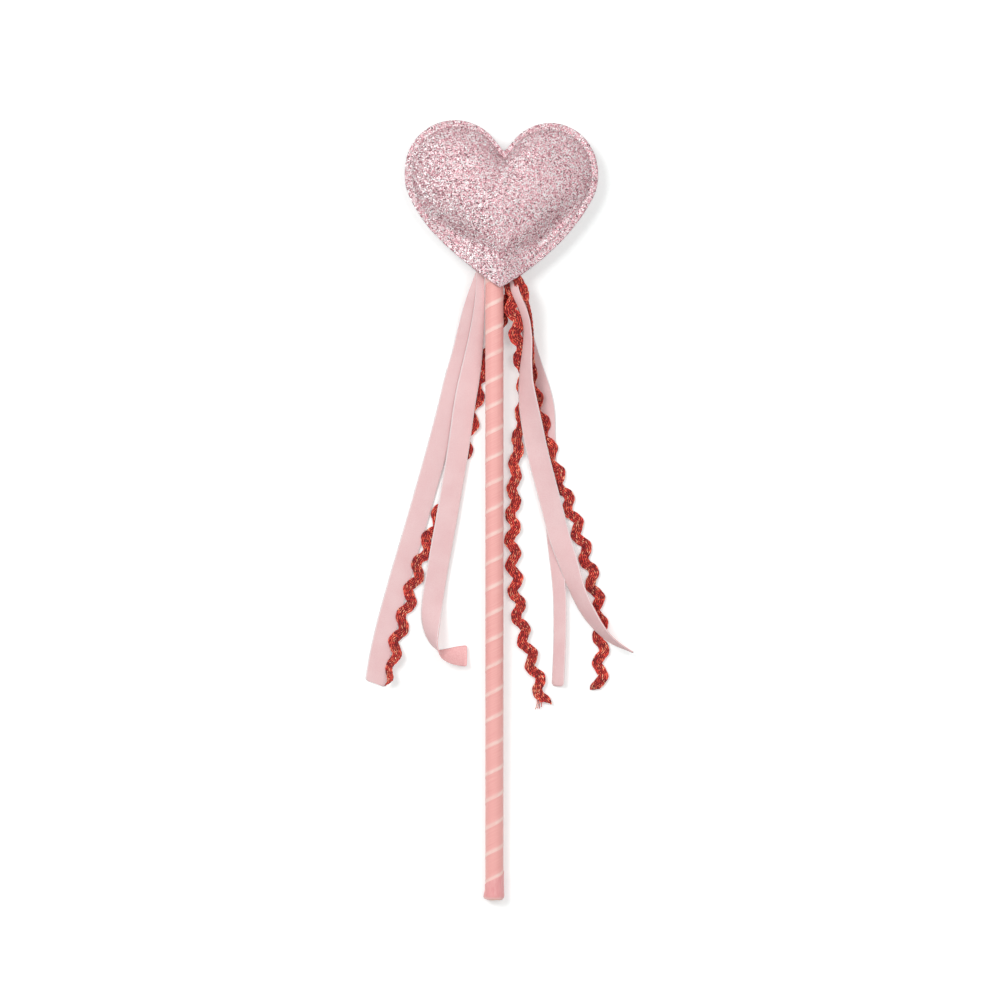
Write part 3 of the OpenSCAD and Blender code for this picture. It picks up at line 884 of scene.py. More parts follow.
flat_places = []
for vertex in winding.data.vertices:
    step, k = divmod(vertex.index, SECTION_STEPS + 1)
    turn = TURN_FROM + step / STEPS_PER_TURN
    across = section[k]
    uneven = LAP_UNEVEN * noise.noise(Vector((turn * UNEVEN_PER_TURN, UNEVEN_SEED, 0))) * (1 - across)
    vertex.co.y += (uneven - hand_laid(turn)) * MM
    flat_places.append((step / (TURNS * STEPS_PER_TURN), across))
map_by_point(winding, flat_places)
lay_down(winding, WAND)
bpy.ops.object.mode_set(mode="EDIT")
bpy.ops.mesh.select_all(action="SELECT")
bpy.ops.mesh.normals_make_consistent(inside=False)
bpy.ops.object.mode_set(mode="OBJECT")
bpy.ops.object.shade_smooth()
thicken(winding, RIBBON_THICK * MM, 0)
bpy.ops.object.shade_smooth_by_angle(angle=CREASE)
turn_length = math.hypot(2 * math.pi * WIND_R, PITCH)
wound_length = TURNS * turn_length
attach(winding, "wand")
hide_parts("stick_wrap")

# %% [markdown]
# ## Satin
#
# Satin floats its warp along the ribbon, so it has a soft shine and faint streaks along its length. Along
# each lap edge a pale band is painted highlight, where the raised edge catches the light, broken up by
# uneven specks. The ribbon's own UV map runs along and across it, so both the streaks and the painted
# highlight follow the winding, which Object coordinates couldn't do.

# %% Satin ribbon
# Coral satin: an even soft shine, with a painted highlight along each lap edge. Its threads are too fine to
# show, so the streaks are drawn as wide as they need to be to show.
STREAK_LENGTH, STREAK_WIDTH = 11.435, 0.2978
SPECK_LENGTH, SPECK_WIDTH = 4.574, 3.425
satin, tree, shader = start_material("coral_satin_ribbon")
place = add_node(tree, "ShaderNodeTexCoord")
strip = add_node(tree, "ShaderNodeMapping",
                 {"Vector": place.outputs["UV"],
                  "Scale": (wound_length / STREAK_LENGTH, RIBBON_ACROSS / STREAK_WIDTH, 1)})
streak = add_node(tree, "ShaderNodeTexNoise", {"Vector": strip.outputs["Vector"], "Scale": 1, "Detail": 3})
tint = add_node(tree, "ShaderNodeValToRGB", {"Fac": streak.outputs["Fac"]})
set_stops(tint, [(0.3, "#f2a7a2"), (0.7, "#fabab3")])
parts = add_node(tree, "ShaderNodeSeparateXYZ", {"Vector": place.outputs["UV"]})
lap = add_node(tree, "ShaderNodeValToRGB", {"Fac": parts.outputs["Y"]})
# The pale band along each lap edge is painted highlight.
set_stops(lap, [(0, "#c4c4c4"), (0.08, "#e6e6e6"), (0.2, "#000000")], "EASE")
speck_place = add_node(tree, "ShaderNodeMapping",
                       {"Vector": place.outputs["UV"],
                        "Scale": (wound_length / SPECK_LENGTH, RIBBON_ACROSS / SPECK_WIDTH, 1)})
speck = add_node(tree, "ShaderNodeTexNoise", {"Vector": speck_place.outputs["Vector"], "Scale": 1})
# Specks break up the painted highlight along the lap.
highlight_breakup = add_node(tree, "ShaderNodeMapRange",
                {"Value": speck.outputs["Fac"], "From Min": 0.25, "From Max": 0.6, "To Min": 0.45})
painted_highlight = add_node(tree, "ShaderNodeMath", {0: lap.outputs["Color"], 1: highlight_breakup.outputs["Result"]},
                operation="MULTIPLY")
colour = add_node(tree, "ShaderNodeMixRGB", {"Fac": painted_highlight.outputs[0], "Color1": tint.outputs["Color"],
                                             "Color2": linear("#ffe3da")})
fine = add_node(tree, "ShaderNodeBump",
                {"Height": streak.outputs["Fac"], "Strength": 0.25, "Distance": 0.1 * MM})
tree.links.new(colour.outputs["Color"], shader.inputs["Base Color"])
tree.links.new(fine.outputs["Normal"], shader.inputs["Normal"])
shader.inputs["Roughness"].default_value = 0.42
shader.inputs["Sheen Weight"].default_value = 0.15
winding.data.materials.append(satin)
print("satin streaks in mm:", round(STREAK_WIDTH, 2), "by", round(STREAK_LENGTH, 1))

# %% [markdown]
# ## Folded ribbon end at the foot
#
# At the foot the ribbon's end is folded over the wood and glued, which makes it a little wider, with soft
# pleats on the flat end. A circle is extruded ring by ring into a cup, from the lap at the top to the
# middle of the foot, and then its top is cut along the spiral and its low end is creased.

# %% Folded end
CUP_SIDES = 64
LAP_OVER = 0.2
CUP_TOP, CUP_R = FRONT_LAP - hand_laid(0) + LAP_OVER, 4.5
MIDDLE_RISE = 0.15
cup_rings = [(7.5, 4.5), (6.0, 4.5), (4.2, 4.54), (3.0, 4.62), (2.2, 4.66), (1.4, 4.55), (0.7, 4.2),
             (0.25, 3.5), (0.05, 2.5), (0.2, 1.35)]
bpy.ops.object.select_all(action="DESELECT")
bpy.ops.mesh.primitive_circle_add(vertices=CUP_SIDES, radius=CUP_R * MM, location=(0, CUP_TOP * MM, 0),
                                  rotation=(math.pi / 2, 0, 0))
folded_end = bpy.context.object
folded_end.name = "folded_ribbon_end"
bpy.ops.object.transform_apply(location=True, rotation=True)
bpy.ops.object.mode_set(mode="EDIT")
bpy.ops.mesh.select_all(action="SELECT")
last_up, last_r = CUP_TOP, CUP_R
for up, radius in cup_rings:
    bpy.ops.mesh.extrude_region_move(TRANSFORM_OT_translate={"value": (0, (up - last_up) * MM, 0)})
    bpy.ops.transform.resize(value=(radius / last_r, 1, radius / last_r), center_override=(0, up * MM, 0))
    last_up, last_r = up, radius
bpy.ops.mesh.extrude_region_move(TRANSFORM_OT_translate={"value": (0, MIDDLE_RISE * MM, 0)})
bpy.ops.mesh.merge(type="CENTER")
bpy.ops.mesh.select_all(action="SELECT")
bpy.ops.mesh.normals_make_consistent(inside=False)
bpy.ops.object.mode_set(mode="OBJECT")
print("folded end:", len(folded_end.data.vertices), "points")

# %% Folded end cut and creased
SPIRAL_ENDS, SPIRAL_FROM = (0.38, 0.5), (0.3, 1.0)
FOLD_LOW, PLEAT_LOW = (5.5, 0.8), (2.5, 0.3)
PLEAT_ACROSS, PLEAT_ALONG = 0.45, 0.12
PLEAT_GROW, PLEAT_RISE = 0.035, 0.35
THREE_SIDED, THREE_TURN = 0.008, 0.8
BULGE, BULGE_TURN = 0.15, 1.9
FOLD_THICK = 0.16
fold_places = []
for vertex in folded_end.data.vertices:
    x, up, z = vertex.co / MM
    angle = math.atan2(x, z)
    turn = angle / (2 * math.pi)
    share = up / CUP_TOP
    fold_places.append((turn, share))
    up += PITCH * turn * (1 - ease(*SPIRAL_ENDS, abs(turn))) * ease(*SPIRAL_FROM, share)
    low = ease(*FOLD_LOW, up)
    pleat = noise.noise(Vector((x * PLEAT_ACROSS, z * PLEAT_ACROSS, up * PLEAT_ALONG)))
    grow = 1 + PLEAT_GROW * low * pleat + THREE_SIDED * low * math.cos(3 * angle + THREE_TURN)
    grow += BULGE * low * max(0, math.cos(angle + BULGE_TURN)) ** 2
    up = max(0.0, up + PLEAT_RISE * ease(*PLEAT_LOW, up) * pleat)
    vertex.co = Vector((x * grow, up, z * grow)) * MM
map_by_point(folded_end, fold_places)
lay_down(folded_end, WAND)
refine(folded_end)
for vertex in folded_end.data.vertices:
    vertex.co.z = max(vertex.co.z, 0.0)
thicken(folded_end, FOLD_THICK * MM, -1)
bpy.ops.object.shade_smooth_by_angle(angle=CREASE)
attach(folded_end, "wand")
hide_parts("end_tuck")
print("folded end:", len(folded_end.data.polygons), "faces")

# %% Folded satin
# The same satin, pinker where it is doubled, with a painted highlight along the fold round the foot and a
# fainter one along its top edge.
FOLD_STREAK_WIDTH, FOLD_STREAK_LENGTH = 1.111 * MM, 3.846 * MM
folded_satin, tree, shader = start_material("coral_satin_fold")
place = add_node(tree, "ShaderNodeTexCoord")
strip = add_node(tree, "ShaderNodeMapping",
                 {"Vector": place.outputs["Object"],
                  "Scale": (1 / FOLD_STREAK_WIDTH, 1 / FOLD_STREAK_LENGTH, 1 / FOLD_STREAK_WIDTH)})
streak = add_node(tree, "ShaderNodeTexNoise", {"Vector": strip.outputs["Vector"], "Scale": 1, "Detail": 3})
tint = add_node(tree, "ShaderNodeValToRGB", {"Fac": streak.outputs["Fac"]})
set_stops(tint, [(0.3, "#ec9c9d"), (0.7, "#f5b1af")])
parts = add_node(tree, "ShaderNodeSeparateXYZ", {"Vector": place.outputs["UV"]})
painted_highlight = add_node(tree, "ShaderNodeValToRGB", {"Fac": parts.outputs["Y"]})
# Pale at the bottom fold and at the top edge: painted highlights.
set_stops(painted_highlight, [(0, "#d0d0d0"), (0.1, "#b0b0b0"), (0.22, "#101010"), (0.9, "#000000"), (1, "#606060")],
          "EASE")
colour = add_node(tree, "ShaderNodeMixRGB", {"Fac": painted_highlight.outputs["Color"], "Color1": tint.outputs["Color"],
                                             "Color2": linear("#ffe0d8")})
fine = add_node(tree, "ShaderNodeBump",
                {"Height": streak.outputs["Fac"], "Strength": 0.3, "Distance": 0.15 * MM})
tree.links.new(colour.outputs["Color"], shader.inputs["Base Color"])
tree.links.new(fine.outputs["Normal"], shader.inputs["Normal"])
shader.inputs["Roughness"].default_value = 0.42
shader.inputs["Sheen Weight"].default_value = 0.15
folded_end.data.materials.append(folded_satin)
print("fold streaks in mm:", round(FOLD_STREAK_WIDTH / MM, 1), "by", round(FOLD_STREAK_LENGTH / MM, 1))

# %% [markdown]
# ## Hidden hard pieces
#
# The dowel and the glue in the heart's tip keep their CAD shape, which is right, and get a finish. Beech
# has short dark flecks along its grain, and set hot glue is cloudy with small bubbles.

# %% Beech dowel
# Turned beech: pale brown and matt, with fine grain lines along the stick.
GRAIN_WIDTH, GRAIN_LENGTH = 1.2 * MM, 18 * MM
beech, tree, shader = start_material("beech_dowel")
place = add_node(tree, "ShaderNodeTexCoord")
grain_place = add_node(tree, "ShaderNodeMapping",
                       {"Vector": place.outputs["Object"],
                        "Scale": (1 / GRAIN_WIDTH, 1 / GRAIN_LENGTH, 1 / GRAIN_WIDTH)})
grain = add_node(tree, "ShaderNodeTexNoise",
                 {"Vector": grain_place.outputs["Vector"], "Scale": 1, "Detail": 4})
tint = add_node(tree, "ShaderNodeValToRGB", {"Fac": grain.outputs["Fac"]})
set_stops(tint, [(0.3, "#c39b6d"), (0.7, "#dcbc92")])
bump = add_node(tree, "ShaderNodeBump",
                {"Height": grain.outputs["Fac"], "Strength": 0.2, "Distance": 0.1 * MM})
tree.links.new(tint.outputs["Color"], shader.inputs["Base Color"])
tree.links.new(bump.outputs["Normal"], shader.inputs["Normal"])
shader.inputs["Roughness"].default_value = 0.6
dowel = frame["nodes"]["dowel"]
dowel.data.materials.clear()
dowel.data.materials.append(beech)
print("beech grain in mm:", round(GRAIN_WIDTH / MM, 1), "by", round(GRAIN_LENGTH / MM))

# %% Hot glue
# Set hot glue: cream, smooth and a little glossy, with cloudy spots round its bubbles.
BUBBLE = 1.5 * MM
glue, tree, shader = start_material("cloudy_hot_glue")
place = add_node(tree, "ShaderNodeTexCoord")
bubbles = add_node(tree, "ShaderNodeTexVoronoi", {"Vector": place.outputs["Object"], "Scale": 1 / BUBBLE})
tint = add_node(tree, "ShaderNodeValToRGB", {"Fac": bubbles.outputs["Distance"]})
set_stops(tint, [(0.1, "#f4efe2"), (0.6, "#e3dcc9")])
bump = add_node(tree, "ShaderNodeBump",
                {"Height": bubbles.outputs["Distance"], "Strength": 0.3, "Distance": 0.2 * MM})
tree.links.new(tint.outputs["Color"], shader.inputs["Base Color"])
tree.links.new(bump.outputs["Normal"], shader.inputs["Normal"])
shader.inputs["Roughness"].default_value = 0.3
shader.inputs["Coat Weight"].default_value = 0.3
plug = frame["nodes"]["neck_glue"]
plug.data.materials.clear()
plug.data.materials.append(glue)
print("glue bubbles in mm:", BUBBLE / MM)

# %% [markdown]
# ## How a streamer lies
#
# Every streamer starts at its glued end in the heart's tip and comes down to the table. Its line is laid
# through way points on the table, in mm, and softened, as a limp ribbon has no corners. Its height follows
# from the distance to the glued end: it drops along a soft S and then lies at its own level in the pile, so
# that streamers can swing over each other.

# %% Streamer lines
LINE_STEPS = 400
SOFTENING = 160


def joint_of(body):
    return next(j for j in frame["joints"] if j["child"] == body)


def even_points(points, count):
    """So many evenly spaced points on a run of straight lines, and the run's length."""
    reach = [0.0]
    for a, b in zip(points, points[1:]):
        reach.append(reach[-1] + (b - a).length)
    out, k = [], 0
    for i in range(count + 1):
        far = reach[-1] * i / count
        while k < len(points) - 2 and reach[k + 1] < far:
            k += 1
        out.append(points[k].lerp(points[k + 1], (far - reach[k]) / (reach[k + 1] - reach[k])))
    return out, reach[-1]


def soft_line(root, way_points):
    """Places along a streamer in mm, its headings in radians right of straight down, and its length."""
    points, _ = even_points([root.xy] + [Vector(p) for p in way_points], LINE_STEPS)
    for _ in range(SOFTENING):
        moved = [(a + b) / 4 + p / 2 for a, p, b in zip(points, points[1:], points[2:])]
        points = [points[0], *moved, points[-1]]
    points, length = even_points(points, LINE_STEPS)
    line = []
    for i, p in enumerate(points):
        way = points[min(i + 1, LINE_STEPS)] - points[max(i - 1, 0)]
        line.append((p, math.atan2(way.x, -way.y)))
    return line, length


def at_distance(line, length, s):
    """Place and heading at a distance along a streamer."""
    k = min(max(s / length, 0), 1) * LINE_STEPS
    i = min(int(k), LINE_STEPS - 1)
    return line[i][0].lerp(line[i + 1][0], k - i), mix(line[i][1], line[i + 1][1], k - i)


def from_pairs(pairs, s):
    """A value read off between (distance, value) pairs."""
    if s <= pairs[0][0]:
        return pairs[0][1]
    for (a, low), (b, high) in zip(pairs, pairs[1:]):
        if s <= b:
            return mix(low, high, (s - a) / (b - a))
    return pairs[-1][1]


ROOT_LAYER = 0.75
root_height = joint_of("left_outer_ribbon")["pos_m"][2] / MM
print("glued ends are", round(root_height, 1), "mm over the table")


def height_at(root, spot, lie):
    """Height over the table at a spot. lie is (glued height, lying height, distance at which it lies)."""
    far = (spot.xy - root.xy).length
    share = 0.0 if far >= lie[2] else (1 + math.cos(math.pi * far / lie[2])) / 2
    return mix(lie[1], lie[0], share)


def hang(piece, lay):
    """Bakes a streamer's place into its mesh and hides the CAD part that it replaces."""
    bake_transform(piece)
    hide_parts(lay["node"])


# %% [markdown]
# ## Velvet ribbons
#
# Velvet ribbon has a short dense pile on its face, which scatters light at its edge, a plain satin back
# and two woven edges that look like fine pale lines. Each ribbon is a grid steered along its line, rolled
# about its own length where the photograph shows it on edge, and slightly bowed, as ribbon off a spool is.

# %% Velvet ribbon shape
GATHERED_HALF = 1.8
SPREAD = 60.0
ROW, COLUMNS = 1.3, 12
END_ROWS = [2.2, 1.5, 1.0, 0.6, 0.3, 0.1, 0.0]
SLANT_REACH = 8
RIPPLE, RIPPLES_PER_MM, RIPPLE_FROM = 0.3, 0.05, (10, 60)
LEAST_HEIGHT = 0.3


def lay_ribbon(name, root, line, length, lay):
    """A ribbon from its glued end to its cut end, by its lay: width, rolls, bow, corners and slant."""
    places = [ROW * k for k in range(int((length - END_ROWS[0]) / ROW))] + [length - d for d in END_ROWS]
    rows, corner = len(places) - 1, lay["corner"]
    bpy.ops.object.select_all(action="DESELECT")
    bpy.ops.mesh.primitive_grid_add(x_subdivisions=COLUMNS, y_subdivisions=rows, size=2)
    ribbon = bpy.context.object
    ribbon.name = name
    for vertex in ribbon.data.vertices:
        across = vertex.co.x
        s = places[round((1 - vertex.co.y) / 2 * rows)]
        half = mix(GATHERED_HALF, lay["width"] / 2, ease(0, SPREAD, s))
        to_end = max(0.0, length - s)
        if to_end < corner:
            half -= corner - math.sqrt(corner ** 2 - (corner - to_end) ** 2)
        s += lay["slant"] * across * ease(length - SLANT_REACH, length, s)
        spot, heading = at_distance(line, length, s)
        spot = spot + Vector((math.sin(heading), -math.cos(heading))) * max(0.0, s - length)
        roll = math.radians(from_pairs(lay["rolls"], s))
        sideways = Vector((math.cos(heading), math.sin(heading)))
        ripple = RIPPLE * noise.noise(Vector((*(spot * RIPPLES_PER_MM), len(name)))) * ease(*RIPPLE_FROM, s)
        rise = lay["bow"] * (1 - across ** 2) + ripple * across
        flat = spot + sideways * (across * half * math.cos(roll) - rise * math.sin(roll))
        height = height_at(root, flat, lay["lie"]) + half * (abs(math.sin(roll)) + across * math.sin(roll))
        vertex.co = Vector((*flat, max(height + rise * math.cos(roll), LEAST_HEIGHT))) * MM
    bpy.ops.object.shade_smooth()
    return ribbon


print("velvet ribbon rows are", ROW, "mm apart")

# %% [markdown]
# ## Velvet and its back
#
# Velvet's pile stands up from the cloth, so its sides catch light at a grazing angle, which the Sheen
# sockets do. The grid's own UV map runs across the ribbon, so it places the pale woven edges. The back has
# another weave and another colour. It gets a material of its own, and Solidify puts that on the far side.

# %% Velvet pile
# Nylon velvet: matt and soft, a little paler where the pile was stroked, with fine pale woven edges. The
# pile is drawn coarser than it is so that it shows.
PILE, STROKE = 0.45 * MM, 9 * MM
velvet, tree, shader = start_material("pale_pink_velvet_pile")
place = add_node(tree, "ShaderNodeTexCoord")
pile = add_node(tree, "ShaderNodeTexNoise",
                {"Vector": place.outputs["Object"], "Scale": 1 / PILE, "Detail": 2})
stroke = add_node(tree, "ShaderNodeTexNoise", {"Vector": place.outputs["Object"], "Scale": 1 / STROKE})
both = add_node(tree, "ShaderNodeMath", {0: pile.outputs["Fac"], 1: stroke.outputs["Fac"]}, operation="ADD")
mean = add_node(tree, "ShaderNodeMath", {0: both.outputs[0], 1: 0.5}, operation="MULTIPLY")
tint = add_node(tree, "ShaderNodeValToRGB", {"Fac": mean.outputs[0]})
set_stops(tint, [(0.35, "#ecc3c4"), (0.65, "#f2d0d0")])
parts = add_node(tree, "ShaderNodeSeparateXYZ", {"Vector": place.outputs["UV"]})
middle = add_node(tree, "ShaderNodeMath", {0: parts.outputs["X"], 1: 0.5}, operation="SUBTRACT")
out_of_middle = add_node(tree, "ShaderNodeMath", {0: middle.outputs[0]}, operation="ABSOLUTE")
edge = add_node(tree, "ShaderNodeMapRange",
                {"Value": out_of_middle.outputs[0], "From Min": 0.43, "From Max": 0.475})
colour = add_node(tree, "ShaderNodeMixRGB", {"Fac": edge.outputs["Result"], "Color1": tint.outputs["Color"],
                                             "Color2": linear("#faeaea")})
bump = add_node(tree, "ShaderNodeBump",
                {"Height": pile.outputs["Fac"], "Strength": 0.2, "Distance": 0.15 * MM})
tree.links.new(colour.outputs["Color"], shader.inputs["Base Color"])
tree.links.new(bump.outputs["Normal"], shader.inputs["Normal"])
shader.inputs["Roughness"].default_value = 0.9
shader.inputs["Sheen Weight"].default_value = 0.4
shader.inputs["Sheen Roughness"].default_value = 0.4
shader.inputs["Sheen Tint"].default_value = linear("#fbeeee")
print("velvet pile in mm:", PILE / MM)

# %% Back of the velvet ribbon
# The back is plain satin weave: rosier and smoother than the pile, with threads that are drawn coarser than
# they are so that they show.
BACK_THREAD = 0.6 * MM
ribbon_back, tree, shader = start_material("rose_satin_ribbon_back")
place = add_node(tree, "ShaderNodeTexCoord")
threads = add_node(tree, "ShaderNodeTexNoise",
                   {"Vector": place.outputs["Object"], "Scale": 1 / BACK_THREAD, "Detail": 3})
tint = add_node(tree, "ShaderNodeValToRGB", {"Fac": threads.outputs["Fac"]})
set_stops(tint, [(0.3, "#f0b3b3"), (0.7, "#fac9c8")])
tree.links.new(tint.outputs["Color"], shader.inputs["Base Color"])
shader.inputs["Roughness"].default_value = 0.5
shader.inputs["Sheen Weight"].default_value = 0.1
print("threads of the back in mm:", BACK_THREAD / MM)

# %% [markdown]
# ## Four velvet ribbons
#
# Each lay is read off the photograph: the way points of the ribbon's middle line, where it turns on edge
# and how its end was cut. Three ribbons are wide, and the narrow one hangs like a cord.

# %% Where each velvet ribbon lies
# rolls are (distance, degrees), lie is as in height_at, and ways are the way points of the line. bow is the
# rise of the middle, corner rounds the corners of the cut, and slant is how far the cut is aslant, in mm.
LAND_LEFT, LAND_RIGHT, LAND_FRONT, LAND_BACK = 48.0, 75.0, 90.0, 42.0
FLAT = [(0, 0)]
ribbon_lays = {
    "velvet_left_outer": dict(
        body="left_outer_ribbon", node="ribbon_left_outer", width=10.0, rolls=FLAT, bow=0.35, corner=1.4,
        slant=0.8, lie=(root_height - 0.5 * ROOT_LAYER, 0.35, LAND_LEFT),
        ways=[(-12.8, 98.0), (-15.6, 84.0), (-16.7, 74.7), (-20.2, 60.8), (-22.1, 51.5), (-27.7, 30.1),
              (-36.1, 0.3), (-44.9, -29.4), (-51.2, -51.7), (-54.7, -66.6), (-56.0, -74.1),
              (-56.9, -80.6)]),
    "velvet_left_inner": dict(
        body="left_inner_ribbon", node="ribbon_left_inner", width=10.0, bow=0.45, corner=0.7, slant=0,
        rolls=[(146, 0), (157, 8), (163.6, 24), (170.3, 49), (175, 68), (178.6, 84), (182, 114),
               (187, 141), (192, 165)],
        lie=(root_height + 0.5 * ROOT_LAYER, 2.1, LAND_LEFT),
        ways=[(-8.2, 98.0), (-9.5, 84.0), (-11.2, 72.4), (-13.3, 60.8), (-15.2, 51.5), (-18.1, 30.1),
              (-23.0, 0.3), (-28.4, -29.4), (-30.7, -44.3), (-31.3, -51.5), (-30.7, -58.4),
              (-29.7, -63.0), (-28.4, -66.2), (-24.8, -67.6), (-19.1, -67.6), (-14.3, -67.6)]),
    "velvet_right_front": dict(
        body="right_front_ribbon", node="ribbon_right_front", width=10.0, bow=0.4, corner=0.5, slant=0,
        rolls=[(2, 0), (14, 43), (22, 54), (27, 59), (42, 56), (53, 48), (69, 21), (82, 0), (122, 0),
               (140, 25), (152, 42), (160, 48), (166, 52), (176, 66), (186, 80), (192, 88)],
        lie=(root_height + 0.2 * ROOT_LAYER, 3.2, LAND_FRONT),
        ways=[(6.5, 104.0), (9.8, 98.6), (13.5, 90.1), (14.4, 80.3), (13.5, 71.9), (13.0, 60.8),
              (13.9, 51.5), (15.6, 42.2), (17.8, 30.1), (21.6, 15.2), (25.6, 0.3), (29.3, -14.5),
              (32.3, -22.0), (34.4, -29.4), (37.0, -36.9), (40.4, -44.3), (44.9, -51.7), (51.4, -59.6),
              (57.9, -63.6), (63.0, -65.7)]),
    "velvet_right_back": dict(
        body="right_back_ribbon", node="ribbon_right_back", width=6.7, bow=0.3, corner=1.6, slant=0,
        rolls=[(90, 0), (130, 18), (160, 29), (195, 33)],
        lie=(root_height - 1.3 * ROOT_LAYER, 0.35, LAND_BACK),
        ways=[(10.7, 98.0), (15.1, 77.1), (18.4, 65.4), (21.6, 56.1), (23.7, 46.8), (23.6, 37.5),
              (24.2, 18.9), (25.2, 0.3), (26.3, -14.5), (28.1, -29.4), (29.1, -41.5), (29.0, -60.1),
              (28.4, -74.1), (28.1, -81.7)]),
}
print("velvet ribbons:", len(ribbon_lays))

# %% Velvet ribbons laid
RIBBON_WALL = 0.36
for name, lay in ribbon_lays.items():
    root = Vector(joint_of(lay["body"])["pos_m"]) / MM
    line, length = soft_line(root, lay["ways"])
    ribbon = lay_ribbon(name, root, line, length, lay)
    ribbon.data.materials.append(velvet)
    ribbon.data.materials.append(ribbon_back)
    thicken(ribbon, RIBBON_WALL * MM, 0, second_slot=True)
    hang(ribbon, lay)
    print(name, round(length, 1), "mm,", len(ribbon.data.polygons), "faces")

# %% [markdown]
# ## Zigzag braid
#
# Ric-rac is plaited from a dozen threads, some of them metallic, with the tension changed so that the flat
# braid snakes from side to side. It could be a strip with a picture of threads, but the real thing glints
# because its threads go over and under each other. So each thread is a curve that crosses the braid and
# comes back, over one neighbour and under the next, round a thin dark core.

# %% Line of the braid
BRAID_W = 5.2
WAVE_HEIGHT = 1.6
WAVE_LEAN = 0.5
BRAID_SPREAD = 8.0
PRESSED, PRESSED_FROM, PRESSED_TO = 0.2, (4, 12), (50, 36)


def braid_station(line, length, s, lay):
    """Middle of the snaking braid at a distance, its ways across and up, and its half width, in mm."""
    spot, heading = at_distance(line, length, s)
    snake = from_pairs(lay["snake"], s)
    turn = 2 * math.pi * s / lay["wave"] + math.radians(lay["phase"])
    lean = heading + WAVE_LEAN * math.atan(snake * math.cos(turn) * 2 * math.pi / lay["wave"])
    roll = math.radians(from_pairs(lay["rolls"], s))
    level, steep = math.cos(roll), math.sin(roll)
    straight = Vector((math.cos(heading) * level, math.sin(heading) * level, steep))
    across = Vector((math.cos(lean) * level, math.sin(lean) * level, steep))
    upward = Vector((-math.cos(lean) * steep, -math.sin(lean) * steep, level))
    half = mix(GATHERED_HALF, BRAID_W / 2, ease(0, BRAID_SPREAD, s))
    half *= 1 + PRESSED * ease(*PRESSED_FROM, s) * ease(*PRESSED_TO, s)
    lift = abs(steep) * (half + WAVE_HEIGHT)
    middle = spot.to_3d() + straight * snake * math.sin(turn) + Vector((0, 0, lift))
    return middle, across, upward, half


def braid_point(root, lie, station, sideways, over):
    """A point of the braid, so far across (-1 to 1) and so far over its middle layer, in metres."""
    middle, across, upward, half = station
    spot = middle + across * half * sideways
    return (spot + Vector((0, 0, height_at(root, spot, lie))) + upward * over) * MM


print("braid width in mm:", BRAID_W, "with its waves:", BRAID_W + 2 * WAVE_HEIGHT)

# %% Threads of the braid
STRANDS = 11
PLAIT = 40.0
STRAND_R = 0.27
OVER = 0.26
EDGE_SHARE, TURN_ROUNDING = 0.9, 0.35
POINTS_PER_MM = 2.4
FRAY_FROM, FRAY_SHARE, FRAY_SINK = 4.6, 0.75, 0.1
FRAY_BENDS = [(0, 0), (0.4, 0.4), (0.75, 0.24), (1, 0)]


def plait_place(strand, s):
    """How far across and how far over or under a strand is at a distance along the braid."""
    p = s / PLAIT + strand / STRANDS
    phase = p % 1
    to_right = phase < 0.5
    straight = 4 * phase - 1 if to_right else 3 - 4 * phase
    turned = -math.cos(2 * math.pi * phase)
    near_turn = min(phase % 0.5, 0.5 - phase % 0.5) * 2 * STRANDS
    over = math.cos(2 * math.pi * STRANDS * p) * ease(0, 1, near_turn)
    return EDGE_SHARE * mix(straight, turned, TURN_ROUNDING), (over if to_right else -over)


def cut_short(cut, sideways):
    """What the slanting cut takes off: off the right edge if cut is above 0, off the left edge if below."""
    return cut * (1 + sideways) / 2 if cut > 0 else -cut * (1 - sideways) / 2


def add_strand(curve, spots, radius):
    spline = curve.splines.new("POLY")
    spline.points.add(len(spots) - 1)
    for point, spot in zip(spline.points, spots):
        point.co = (*spot, 1)
        point.radius = radius


def frayed_end(first, heading, reach):
    """Points of a loose thread end, which bends a little to its side and sinks."""
    way = Vector((math.sin(heading), -math.cos(heading), -FRAY_SINK)) * reach * MM
    aside = Vector((math.cos(heading), math.sin(heading), 0)) * MM
    return [first + way * along + aside * bend for along, bend in FRAY_BENDS]


def plait_strands(name, root, line, length, lay, stations):
    """All strands of one braid as curves, made a mesh."""
    count = len(stations) - 1
    curve = bpy.data.curves.new(name, "CURVE")
    curve.dimensions = "3D"
    curve.bevel_depth = STRAND_R * MM
    curve.bevel_resolution = 1
    curve.use_fill_caps = True
    for strand in range(STRANDS):
        spots = []
        for i in range(count + 1):
            sideways, over = plait_place(strand, length * i / count)
            if length * i / count <= length - cut_short(lay["cut"], sideways):
                spots.append(braid_point(root, lay["lie"], stations[i], sideways, OVER * over))
        add_strand(curve, spots, 1)
    for sideways, turn, reach in lay["fray"]:
        station = stations[count - int(FRAY_FROM * POINTS_PER_MM)]
        first = braid_point(root, lay["lie"], station, sideways, 0)
        add_strand(curve, frayed_end(first, line[-1][1] + math.radians(turn), reach), FRAY_SHARE)
    braid = bpy.data.objects.new(name, curve)
    bpy.context.collection.objects.link(braid)
    select_only(braid)
    bpy.ops.object.convert(target="MESH")
    bpy.ops.object.shade_smooth()
    return bpy.context.object


print("threads in a braid:", STRANDS)

# %% Core of the braid
CORE_SHARE, CORE_SHORT, CORE_WALL, CORE_COLUMNS = 0.86, 0.3, 0.25, 4


